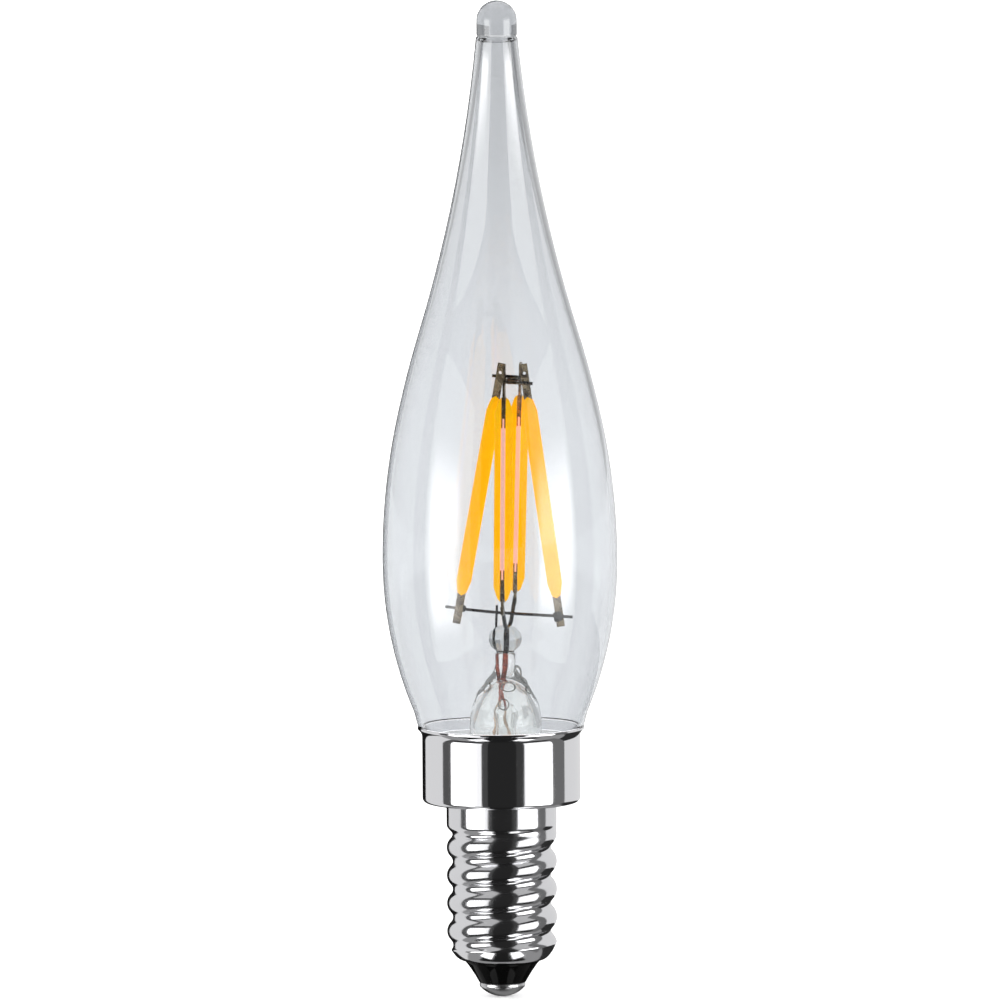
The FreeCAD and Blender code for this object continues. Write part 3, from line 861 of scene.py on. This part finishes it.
    def build(self) -> None:
        """Model and dress the stem."""
        obj = Turning("stem_body", self.outline(), axis=(self.offset, 0.0), segments=96, shade=Shade.ROUND).build()
        self.pinch(obj)
        dress(obj, STEM_GLASS_PAINTED_GLOW, "glass_stem")
        bead = self.bead_outline()
        obj = Turning("stem_bead", bead, axis=(self.offset, 0.0), segments=64, shade=Shade.ROUND).build()
        dress(obj, BEAD_GLASS)
        for name, place, radii, wall, tilt in self.folds:
            self.ring(name, Vector(place), radii, wall, tilt)


@dataclass
class LightFilament:
    """The two rounded phosphor coats of one light filament, joined into one piece.

    Args:
        side: which of the four it is.
        azimuths: where its foot and its head stand in the cage, in degrees from +X towards +Y.
        foot: radius and height of its foot in the cage.
        head: radius and height of its head.
        half_width: half the coat's width.
        height: how far a coat stands out from the strip.
        face: half the strip's thickness, where the coat begins.
        taper: length of its tapered end.
        end_share: width of the end, as a share of the whole.
        end_swell: how fast the end swells, as a power.
        end_rise: height where the swelling starts, as a share of the taper.
        end_steps: rings in an end.
        middle_steps: parts of the length, one less than the rings between the ends.
        segments: sides of its section.
    """

    side: str
    azimuths: Station
    foot: Station = (6.07, 1.9)
    head: Station = (2.0, 27.2)
    half_width: float = 0.90
    height: float = 0.84
    face: float = 0.33
    taper: float = 1.9
    end_share: float = 0.45
    end_swell: float = 0.8
    end_rise: float = 0.04
    end_steps: int = 7
    middle_steps: int = 8
    segments: int = 32

    def outline(self, length: float) -> list[Station]:
        """Outline of one coat as if it were round, its ends rounded off.

        Args:
            length: its length in millimetres.

        Returns:
            Radius and height of each ring.
        """
        low: list[Station] = [(0.0, 0.0)]
        for n in range(1, self.end_steps + 1):
            share = n / self.end_steps
            swell = self.end_share + (1 - self.end_share) * share ** self.end_swell
            low.append((self.half_width * swell, self.taper * (self.end_rise + (1 - self.end_rise) * share)))
        middle = [(self.half_width, length * n / self.middle_steps) for n in range(1, self.middle_steps)]
        return low + middle + [(radius, length - height) for radius, height in reversed(low)]

    def coat(self, name: str, length: float, way: float) -> bpy.types.Object:
        """One coat: a rod flattened where it lies on the strip.

        Args:
            name: its name.
            length: its length in millimetres.
            way: 1 for the strip's front, -1 for its back.

        Returns:
            The coat, upright at the origin.
        """
        obj = Turning(name, self.outline(length), segments=self.segments, shade=Shade.ROUND).build()
        tall = (self.face + self.height) / self.half_width
        for vertex in obj.data.vertices:
            vertex.co.y = way * max(vertex.co.y * tall, self.face * MM)
        obj.data.update()
        return obj

    def build(self) -> None:
        """Model, place and dress the coats."""
        foot = CAGE.polar(self.foot[0], self.azimuths[0], self.foot[1])
        head = CAGE.polar(self.head[0], self.azimuths[1], self.head[1])
        along = head - foot
        pair = [self.coat("%s_coat_%d" % (self.side, n), along.length, way) for n, way in enumerate((1.0, -1.0))]
        bpy.ops.object.select_all(action="DESELECT")
        for coat in pair:
            coat.select_set(True)
        bpy.context.view_layer.objects.active = pair[0]
        bpy.ops.object.join()
        obj = pair[0]
        turn = math.radians(self.azimuths[0])
        tangent = Vector((-math.sin(turn), math.cos(turn), 0.0))
        rise = along.normalized()
        across = tangent.cross(rise).normalized()
        turned = Matrix((across, rise.cross(across), rise)).transposed()
        place = turned.to_4x4()
        place.translation = foot * MM
        obj.matrix_world = CAGE.lean() @ place
        obj = settle(obj, self.side + "_coats", Shade.ROUND)
        dress(obj, PHOSPHOR_PAINTED_GLOW, self.side + "_filament_phosphor")


@dataclass(frozen=True)
class Cage:
    """Where the filament cage stands: beside the lamp's axis and leaning a little.

    Args:
        offset: how far it stands beside the axis.
        base: height of its foot.
        lean_deg: its lean to the right, in degrees.
    """

    offset: float = 1.07
    base: float = 48.78
    lean_deg: float = 1.2

    def polar(self, radius: float, azimuth: float, height: float) -> Vector:
        """Point of the cage in millimetres from its radius, azimuth in degrees and height."""
        turn = math.radians(azimuth)
        return Vector((radius * math.cos(turn), radius * math.sin(turn), height))

    def lean(self) -> Matrix:
        """Place of the cage in the lamp, in metres."""
        return Matrix.Translation(Vector((self.offset, 0.0, self.base)) * MM) @ Matrix.Rotation(
            math.radians(self.lean_deg), 4, "Y")

    def place(self, point: Vector) -> Vector:
        """Point of the lamp in millimetres for a point of the cage."""
        return (self.lean() @ (point * MM)) / MM


CAGE = Cage()

# Where each filament's foot and head stand round the cage, in degrees

FILAMENTS = {"left": (172.3, 172.3), "right": (-7.7, -7.7), "front": (-97.7, -120.0), "back": (82.3, 60.0)}

# Each wire's name, node, finish, radius, length of its bends and corners in millimetres

WIRES: tuple[tuple[str, str, Finish, float, float, tuple[Point, ...]], ...] = (
    ("deep_bar", "deep_crossbar", LEAD_METAL, 0.26, 0.7,
     ((0.25, -6.1, 49.9), (0.62, -0.9, 47.0), (0.75, 0.0, 46.3), (1.33, 1.0, 47.3), (1.85, 6.05, 49.9))),
    ("lead_b_rod", "lead_b_inner", LEAD_METAL, 0.24, 0.4, ((0.75, 0.0, 46.3), (0.62, 0.0, 43.58))),
    ("lead_a_rod", "lead_a_inner", LEAD_METAL, 0.15, 0.4,
     ((-0.42, 0.15, 49.6), (-0.54, 0.05, 46.9), (-0.2, 0.0, 43.58))),
    ("seal_a_rod", "lead_a_seal", SEAL_WIRE, 0.21, 1.0,
     ((-0.2, 0.0, 43.58), (-0.1, 0.0, 40.5), (0.05, 0.0, 38.4), (-0.25, 0.0, 37.2))),
    ("outer_a_rod", "lead_a_outer", COPPER_WIRE, 0.2, 1.0,
     ((-0.25, 0.0, 37.2), (-0.5, 0.0, 36.3), (-0.88, 0.0, 33.4), (-1.15, -0.48, 22.5))),
    ("seal_b_rod", "lead_b_seal", SEAL_WIRE, 0.23, 1.0,
     ((0.62, 0.0, 43.58), (0.55, 0.2, 41.0), (0.15, 0.5, 38.8), (0.4, 0.9, 36.0))),
    ("outer_b_rod", "lead_b_outer", COPPER_WIRE, 0.2, 1.0, ((0.4, 0.9, 36.0), (1.2, 0.6, 33.2), (2.35, -0.48, 22.5))),
)


@dataclass
class CageWires:
    """Bridge, crossbars and leads, which are bent by hand and never quite straight.

    Args:
        bar_azimuth: direction of the wide crossbar in the cage, in degrees.
        bar_tilt: its fall towards the right, as a share of its length.
        bar_sag: places along it and how far it sags there.
        bar_wire: radius of the wide crossbar and length of its bends.
        bridge_height: height of the bridge in the cage.
        bridge: corners of its S.
        bridge_wire: radius of the bridge and length of its bends.
        clamps: each clamp's name, place along the crossbar, lift over it and size.
        clamp_lean: lean of the clamps towards the middle, in degrees.
        clamp_edge: width of their softened edges.
    """

    bar_azimuth: float = -11.2
    bar_tilt: float = math.tan(math.radians(2.6))
    bar_sag: tuple[Station, ...] = ((-8.16, 0.0), (-5.5, -0.15), (-1.4, -0.22), (5.95, -0.04), (8.16, 0.0))
    bar_wire: Station = (0.19, 1.5)
    bridge_height: float = 29.3
    bridge: tuple[Point, ...] = (
        (-2.55, 0.68, 0.40), (0.8, 0.68, 0.30), (0.8, 0.0, -0.02), (-0.75, 0.0, 0.02), (-0.75, -0.68, -0.30),
        (2.55, -0.68, -0.38))
    bridge_wire: Station = (0.2, 0.34)
    clamps: tuple[tuple[str, float, float, Point], ...] = (
        ("right_clamp", 6.25, -0.1, (1.0, 0.62, 1.2)), ("left_clamp", -5.95, -0.05, (0.8, 0.85, 0.8)))
    clamp_lean: float = 12.0
    clamp_edge: float = 0.16

    def bar(self) -> list[Vector]:
        """Points of the wide crossbar, which sags a little between its ends."""
        points = []
        for reach, sag in self.bar_sag:
            point = CAGE.polar(reach, self.bar_azimuth, sag)
            point.z -= reach * self.bar_tilt
            points.append(CAGE.place(point))
        return points

    def build(self) -> None:
        """Model and dress the wires."""
        bridge = [CAGE.place(Vector((x, y, self.bridge_height + z))) for x, y, z in self.bridge]
        dress(Rod("bridge_rod", bridge, *self.bridge_wire).build(), WIRE_METAL, "top_bridge_wire")
        dress(Rod("wide_bar", self.bar(), *self.bar_wire).build(), LEAD_METAL, "wide_crossbar")
        for clamp in self.clamps:
            self.clamp(*clamp)
        for name, node, finish, radius, bend, path in WIRES:
            dress(Rod(name, [Vector(point) for point in path], radius, bend).build(), finish, node)

    def clamp(self, name: str, reach: float, lift: float, size: Point) -> None:
        """Pinched end of a tab round the wide crossbar, with softened edges.

        Args:
            name: its name.
            reach: its place along the crossbar.
            lift: how far its middle lies above the crossbar.
            size: its width, depth and height.
        """
        place = CAGE.polar(reach, self.bar_azimuth, lift - reach * self.bar_tilt)
        lean = math.radians(-self.clamp_lean if reach > 0 else self.clamp_lean)
        bpy.ops.object.select_all(action="DESELECT")
        bpy.ops.mesh.primitive_cube_add(size=1.0, location=CAGE.place(place) * MM, rotation=(0.0, lean, 0.0))
        obj = bpy.context.object
        obj.scale = Vector(size) * MM
        bpy.ops.object.transform_apply(location=False, rotation=False, scale=True)
        apply_modifier(obj, "BEVEL", width=self.clamp_edge * MM, segments=4)
        dress(settle(obj, name, Shade.CREASED), LEAD_METAL)


@dataclass
class Collar:
    """Drawn metal sleeve with a rounded lower edge and a flared lip.

    Args:
        radius: radius of the sleeve.
        wall: its sheet.
        rounding: radius of its lower edge.
        hole: radius of the hole in its floor.
        floor: height of its floor.
        lip_foot: height where the lip begins.
        lip_radius: radius of the lip.
        top: height of the lip's edge.
        lip_end: where the lip's flare ends, counted from lip_radius and top.
        edge: outline of the lip's edge, counted in the same way.
        film: closed outline of the cement that fills the lip.
    """

    radius: float = 9.95
    wall: float = 0.35
    rounding: float = 0.6
    hole: float = 6.475
    floor: float = 24.68
    lip_foot: float = 32.88
    lip_radius: float = 10.5
    top: float = 34.28
    lip_end: Station = (-0.02, -0.32)
    edge: tuple[Station, ...] = (
        (0.0, -0.26), (0.0, -0.08), (-0.04, -0.02), (-0.12, 0.0), (-0.28, -0.02), (-0.33, -0.10))
    film: tuple[Station, ...] = (
        (9.45, 32.92), (10.12, 33.9), (10.17, 34.2), (10.2, 34.27), (10.26, 34.29), (10.1, 34.26), (9.9, 34.12),
        (9.28, 32.92), (9.45, 32.92))

    def outline(self) -> list[Station]:
        """Closed outline from the hole, round the outside and back inside."""
        centre = (self.radius - self.rounding, self.floor + self.rounding)
        low = [(self.hole, self.floor)]
        for n in range(11):
            turn = math.radians(-90 + 9 * n)
            low.append((centre[0] + self.rounding * math.cos(turn), centre[1] + self.rounding * math.sin(turn)))
        side = [(self.radius, self.floor + 1.0), (self.radius, self.lip_foot - 0.1), (self.radius, self.lip_foot)]
        lip = (self.lip_end, *self.edge)
        lip_end, *edge = [(self.lip_radius + radius, self.top + height) for radius, height in lip]
        flare = arc_stations((self.radius, self.lip_foot), (0.0, 1.0), [lip_end], 5.0)
        inner = self.radius - self.wall
        inside = [(inner, self.lip_foot - 0.2), (inner, self.floor + 1.0), (centre[0], self.floor + self.wall),
                  (self.hole, self.floor + self.wall), (self.hole, self.floor)]
        return low + side + flare + edge + inside

    def build(self) -> None:
        """Model and dress the collar and its cement."""
        obj = Turning("collar_sleeve", self.outline(), segments=160, ring_closed=True).build()
        dress(obj, NICKEL, "base_collar")
        obj = Turning("cement_fillet", list(self.film), segments=96, ring_closed=True, shade=Shade.ROUND).build()
        dress(obj, CEMENT_FILM_PAINTED_GLOW)


@dataclass
class ScrewShell:
    """Rolled screw shell: a turned sleeve whose wall follows the thread.

    Args:
        major: radius of the thread's crests.
        minor: radius of its roots.
        pitch: rise of one turn.
        crest_share: share of the pitch that the round crest takes.
        rim: outline of the rim that grips the insulator.
        rim_lean: direction in which the rim goes on.
        rim_end: height where the rounded lower end meets the thread.
        under_crest: how far the plain sleeve lies under the crests.
        thread_high: height where the thread ends.
        run_out: height over which it fades out.
        start_turn: where it starts, in turns.
        plain_foot: height above which the sleeve is plain.
        neck: outline of the band's upper end, the narrow neck and the flange in the collar.
        inside: outline of the inside, downwards.
        rings_per_pitch: rings in one turn's height.
        segments: sides of each ring.
    """

    major: float = 6.945
    minor: float = 6.2
    pitch: float = 3.54
    crest_share: float = 0.66
    rim: tuple[Station, ...] = (
        (4.75, 4.72), (4.8, 4.62), (5.05, 4.66), (5.25, 4.71), (5.45, 4.80), (5.63, 4.92), (5.80, 5.06))
    rim_lean: Station = (0.68, 0.73)
    rim_end: float = 7.05
    under_crest: float = 0.0001
    thread_high: float = 22.0
    run_out: float = 1.5
    start_turn: float = -0.155
    plain_foot: float = 22.4
    neck: tuple[Station, ...] = (
        (6.945, 24.3), (6.945, 24.56), (6.80, 24.62), (6.445, 24.66), (6.445, 25.03), (8.345, 25.03), (8.345, 25.33),
        (6.145, 25.33))
    inside: tuple[Station, ...] = ((6.145, 23.2), (5.9, 22.4), (5.9, 6.4), (5.6, 5.9), (4.8, 5.0))
    rings_per_pitch: int = 20
    segments: int = 144

    def thread_drop(self, height: float, turn: float) -> float:
        """How far the thread's surface lies below its crest.

        Args:
            height: height in millimetres.
            turn: place round the shell, in turns.

        Returns:
            The drop in millimetres.
        """
        depth = self.major - self.minor
        half = self.pitch / 2
        lean = 2 * math.atan(depth / half)
        crest = half * self.crest_share / math.sin(lean)
        root = half * (1 - self.crest_share) / math.sin(lean)
        phase = (height / self.pitch - turn - self.start_turn) % 1.0
        across = abs(phase - round(phase)) * self.pitch
        if across < half * self.crest_share:
            drop = crest - math.sqrt(crest ** 2 - across ** 2)
        else:
            drop = depth - root + math.sqrt(root ** 2 - (half - across) ** 2)
        high = min(1.0, max(0.0, (self.thread_high - height) / self.run_out))
        return drop * (3 - 2 * high) * high ** 2

    def build(self) -> None:
        """Model and dress the shell."""
        end = arc_stations(self.rim[-1], self.rim_lean, [(self.major, self.rim_end)], 1.5)
        rise = self.pitch / self.rings_per_pitch
        height = self.rim_end + rise
        side = []
        while height < self.plain_foot:
            side.append((self.major - self.under_crest, height))
            height += rise
        outline = [*self.rim, *end, *side, *self.neck, *self.inside, self.rim[0]]
        obj = Turning("threaded_shell", outline, segments=self.segments, ring_closed=True).build()
        self.roll_thread(obj)
        dress(obj, THREAD_NICKEL, "screw_shell")

    def roll_thread(self, obj: bpy.types.Object) -> None:
        """Press the thread into the sleeve's wall.

        Args:
            obj: the plain sleeve.
        """
        for vertex in obj.data.vertices:
            height = vertex.co.z / MM
            flat = Vector((vertex.co.x, vertex.co.y)) / MM
            if height < self.thread_high and flat.length > self.minor:
                turn = math.atan2(flat.y, flat.x) / math.tau
                share = min(1.0, (self.major - self.thread_drop(height, turn)) / flat.length)
                vertex.co.x *= share
                vertex.co.y *= share
        obj.data.update()


@dataclass
class CapEnd:
    """Black glass cone and the domed contact under it.

    Args:
        seat: height of the cone's foot on the contact.
        cone: closed outline of the cone, its heights counted from the seat.
        dome_end: radius and height where the dome meets its rim.
        rim: outline of the contact's rim and of its shank in the cone.
    """

    seat: float = 1.8
    cone: tuple[Station, ...] = (
        (2.7, 0.02), (2.95, 0.05), (3.02, 0.16), (3.35, 0.75), (3.9, 1.62), (4.45, 2.4), (4.74, 2.72), (4.79, 3.1),
        (4.4, 3.3), (1.5, 3.3), (1.2, 0.1), (2.7, 0.02))
    dome_end: Station = (2.86, 1.28)
    rim: tuple[Station, ...] = (
        (2.9, 1.36), (2.9, 1.66), (2.84, 1.77), (2.7, 1.8), (0.95, 1.8), (0.95, 5.8), (0.0, 5.8))

    def build(self) -> None:
        """Model and dress the insulator and the contact."""
        cone = [(radius, self.seat + height) for radius, height in self.cone]
        obj = Turning("insulator_cone", cone, segments=96, ring_closed=True, shade=Shade.ROUND).build()
        dress(obj, BLACK_GLASS, "glass_insulator")
        pole = (0.0, 0.0)
        dome = [pole, *arc_stations(pole, (1.0, 0.0), [self.dome_end], 4.0), *self.rim]
        dress(Turning("contact_dome", dome, segments=96).build(), CONTACT_METAL, "centre_contact")


# The studio


@dataclass(frozen=True)
class Panel:
    """One reflector panel: where it stands round the lamp, how high it reaches and how bright it is.

    Args:
        name: its name.
        azimuth: its two edges in degrees from the camera's side, counted to the right.
        rise: its foot and top in degrees above the lamp's middle.
        glow: its brightness, 0 for a black panel.
        core: extra brightness in its middle.
        middle: where the bright part's middle lies to the right and up, as shares of the panel's size.
        fall: where its brightness starts and ends to fall off, beside and then above its middle.
        seen_through: whether rays bent by glass see it too.
    """

    name: str
    azimuth: Station
    rise: Station
    glow: float
    core: float = 0.0
    middle: Station = (0.0, 0.0)
    fall: tuple[Station, Station] = ((0.1, 0.4), (0.1, 0.4))
    seen_through: bool = True


PANELS = (
    Panel("front", (-20.0, 22.0), (-50.0, 80.0), 0.022),
    Panel("front_left", (-29.0, -20.0), (-50.0, 80.0), 0.07, seen_through=False),
    Panel("front_right", (22.0, 34.0), (-50.0, 80.0), 0.05, seen_through=False),
    Panel("left_soft_box", (-79.0, -29.0), (-30.0, 22.0), 1.2, 5.4, (-0.09, -0.02), ((0.20, 0.43), (0.16, 0.39))),
    Panel("right_soft_box", (34.0, 81.0), (-30.0, 22.0), 1.2, 5.2, (0.03, 0.02), ((0.30, 0.48), (0.10, 0.36))),
    Panel("left_frame_top", (-79.0, -29.0), (22.0, 36.0), 0.03, seen_through=False),
    Panel("right_frame_top", (34.0, 81.0), (22.0, 36.0), 0.03, seen_through=False),
    Panel("left_top", (-79.0, -29.0), (36.0, 80.0), 0.55, seen_through=False),
    Panel("right_top", (34.0, 81.0), (36.0, 80.0), 0.55, seen_through=False),
    Panel("left_frame_foot", (-79.0, -29.0), (-46.0, -30.0), 0.03, seen_through=False),
    Panel("right_frame_foot", (34.0, 81.0), (-46.0, -30.0), 0.03, seen_through=False),
    Panel("left_edge", (-95.0, -79.0), (-46.0, 60.0), 0.10),
    Panel("right_edge", (81.0, 106.0), (-46.0, 60.0), 0.17),
    Panel("left_side", (-146.0, -95.0), (-46.0, 60.0), 0.80),
    Panel("right_side", (106.0, 165.0), (-16.0, 60.0), 0.80),
    Panel("right_low", (104.0, 180.0), (-40.0, -16.0), 0.03, seen_through=False),
    Panel("left_rear", (-180.0, -146.0), (-46.0, 40.0), 0.01, seen_through=False),
    Panel("right_rear", (165.0, 180.0), (-14.0, 40.0), 0.66, seen_through=False),
)


# Each card's name, place, size and brightness

GROUND_CARDS: tuple[tuple[str, Point, Station, float], ...] = (
    ("dark_cloth_panel", (0.0, -0.9, -1.5), (1.5, 2.6), 0.015),
    ("left_ground_card_panel", (-0.62, -0.45, -1.45), (0.5, 0.7), 2.0),
    ("right_ground_card_panel", (0.62, -0.45, -1.45), (0.5, 0.7), 2.0),
)


def plain_material(name: str, colour: Colour, roughness: float, glow: float) -> bpy.types.Material:
    """Material without gloss that gives off white light.

    Args:
        name: its name.
        colour: its colour.
        roughness: its roughness.
        glow: its brightness.

    Returns:
        The material.
    """
    made = bpy.data.materials.new(name)
    made.use_nodes = True
    shader = made.node_tree.nodes["Principled BSDF"]
    shader.inputs["Base Color"].default_value = (*colour, 1.0)
    shader.inputs["Specular IOR Level"].default_value = 0.0
    shader.inputs["Roughness"].default_value = roughness
    shader.inputs["Emission Color"].default_value = (1.0, 1.0, 1.0, 1.0)
    shader.inputs["Emission Strength"].default_value = glow
    return made


@dataclass
class Studio:
    """Pale floor, soft light, reflector panels round the lamp and the camera.

    Args:
        camera_rise: the camera's height above the lamp's middle, in degrees.
        camera_reach: its distance in metres.
        camera_roll: its roll in degrees.
        frame_height: height of the picture at the lamp, in metres.
        sensor: width of the camera's sensor, in millimetres.
        target: what the camera looks at.
        panel_reach: distance of the panels.
        panel_middle: height that their rise counts from.
        daylight: brightness of the surroundings.
        floor_colour: colour of the floor.
        floor_glow: brightness that the floor has by itself.
        ground_depth: how far under the lamp the reflected ground lies.
        ground_radius: its radius.
        ground_glow: its brightness.
    """

    camera_rise: float = 6.0
    camera_reach: float = 3.0
    camera_roll: float = -0.357
    frame_height: float = 0.12587
    sensor: float = 36.0
    target: Point = (0.00005, 0.0, 0.0629)
    panel_reach: float = 1.5
    panel_middle: float = 0.06
    daylight: float = 1.4
    floor_colour: Colour = (0.93, 0.93, 0.93)
    floor_glow: float = 0.35
    ground_depth: float = 1.6
    ground_radius: float = 6.0
    ground_glow: float = 0.32

    def panel(self, spec: Panel) -> None:
        """Upright panel that only reflections see.

        Args:
            spec: the panel.
        """
        bpy.ops.object.select_all(action="DESELECT")
        middle = math.radians(sum(spec.azimuth) / 2)
        spread = math.radians((spec.azimuth[1] - spec.azimuth[0]) / 2)
        width = 2 * self.panel_reach * math.tan(spread)
        bottom, top = (self.panel_middle + self.panel_reach * math.tan(math.radians(r)) for r in spec.rise)
        bpy.ops.mesh.primitive_plane_add(
            size=1.0,
            location=(self.panel_reach * math.sin(middle), -self.panel_reach * math.cos(middle), (bottom + top) / 2),
            rotation=(math.radians(90), 0.0, middle))
        obj = bpy.context.object
        obj.scale = (width, top - bottom, 1.0)
        self.reflect_only(obj, spec.name + "_panel", spec.glow, spec.seen_through)
        if spec.core:
            self.soften(obj.data.materials[0], spec)

    def reflect_only(self, obj: bpy.types.Object, name: str, glow: float, seen_through: bool = False) -> None:
        """Give a panel its brightness and hide it from all but reflections.

        Args:
            obj: the panel.
            name: its name.
            glow: its brightness.
            seen_through: whether rays bent by glass see it too.
        """
        obj.name = name
        obj.data.materials.append(plain_material(name, (0.0, 0.0, 0.0), 1.0, glow))
        obj.visible_camera = False
        obj.visible_diffuse = False
        obj.visible_transmission = seen_through
        obj.visible_shadow = False
        obj.visible_volume_scatter = False

    def soften(self, made: bpy.types.Material, spec: Panel) -> None:
        """Brighten a panel towards its middle, as a soft box is.

        Args:
            made: the panel's material.
            spec: the panel.
        """
        tree = made.node_tree
        place = object_place(tree)
        shares = []
        for axis, middle, reach in zip("XY", spec.middle, spec.fall):
            off = combine(tree, "ABSOLUTE", combine(tree, "SUBTRACT", place[axis], middle))
            shares.append(map_range(tree, off, reach, (1.0, 0.0), smooth=True))
        both = combine(tree, "MULTIPLY", *shares)
        total = combine(tree, "MULTIPLY_ADD", both, spec.core, spec.glow)
        tree.links.new(total, tree.nodes["Principled BSDF"].inputs["Emission Strength"])

    def ground_panels(self) -> None:
        """Grey ground far under the lamp, with a dark cloth and two bright cards, which only reflections see."""
        bpy.ops.object.select_all(action="DESELECT")
        bpy.ops.mesh.primitive_circle_add(vertices=48, radius=self.ground_radius, fill_type="NGON",
                                          location=(0.0, 0.0, -self.ground_depth))
        self.reflect_only(bpy.context.object, "ground_panel", self.ground_glow)
        for name, place, size, glow in GROUND_CARDS:
            bpy.ops.object.select_all(action="DESELECT")
            bpy.ops.mesh.primitive_plane_add(size=1.0, location=place)
            obj = bpy.context.object
            obj.scale = (*size, 1.0)
            self.reflect_only(obj, name, glow)

    def floor(self) -> None:
        """Wide pale floor, which reflections don't see."""
        bpy.ops.object.select_all(action="DESELECT")
        bpy.ops.mesh.primitive_plane_add(size=20.0, location=(0.0, 0.0, 0.0))
        obj = bpy.context.object
        obj.name = "studio_floor"
        obj.data.materials.append(plain_material("studio_floor", self.floor_colour, 0.9, self.floor_glow))
        obj.visible_glossy = False

    def light(self) -> None:
        """Even white surroundings."""
        world = bpy.data.worlds.new("studio")
        bpy.context.scene.world = world
        world.use_nodes = True
        backdrop = world.node_tree.nodes["Background"]
        backdrop.inputs["Color"].default_value = (1.0, 1.0, 1.0, 1.0)
        backdrop.inputs["Strength"].default_value = self.daylight

    def camera(self) -> None:
        """Camera at the photograph's angle, with a long lens."""
        rise = math.radians(self.camera_rise)
        back = Vector((0.0, -math.cos(rise), math.sin(rise)))
        bpy.ops.object.select_all(action="DESELECT")
        bpy.ops.object.camera_add(location=Vector(self.target) + back * self.camera_reach,
                                  rotation=(math.radians(90) - rise, 0.0, 0.0))
        camera = bpy.context.object
        camera.rotation_euler.rotate_axis("Z", math.radians(self.camera_roll))
        camera.data.sensor_width = self.sensor
        camera.data.lens = self.sensor * self.camera_reach / self.frame_height
        camera.data.clip_start = 0.01
        camera.data.clip_end = 50.0
        bpy.context.scene.camera = camera
        bpy.context.scene.view_settings.view_transform = "Standard"

    def build(self) -> None:
        """Set up the whole studio."""
        self.floor()
        self.light()
        for spec in PANELS:
            self.panel(spec)
        self.ground_panels()
        self.camera()


def main() -> None:
    """Build the lamp and its studio."""
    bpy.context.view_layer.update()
    dress_nodes()
    GlassBulb().build()
    Stem().build()
    for side, azimuths in FILAMENTS.items():
        LightFilament(side, azimuths).build()
    CageWires().build()
    Collar().build()
    ScrewShell().build()
    CapEnd().build()
    Studio().build()
    log.info("all pieces built")


if __name__ == "__main__":
    main()
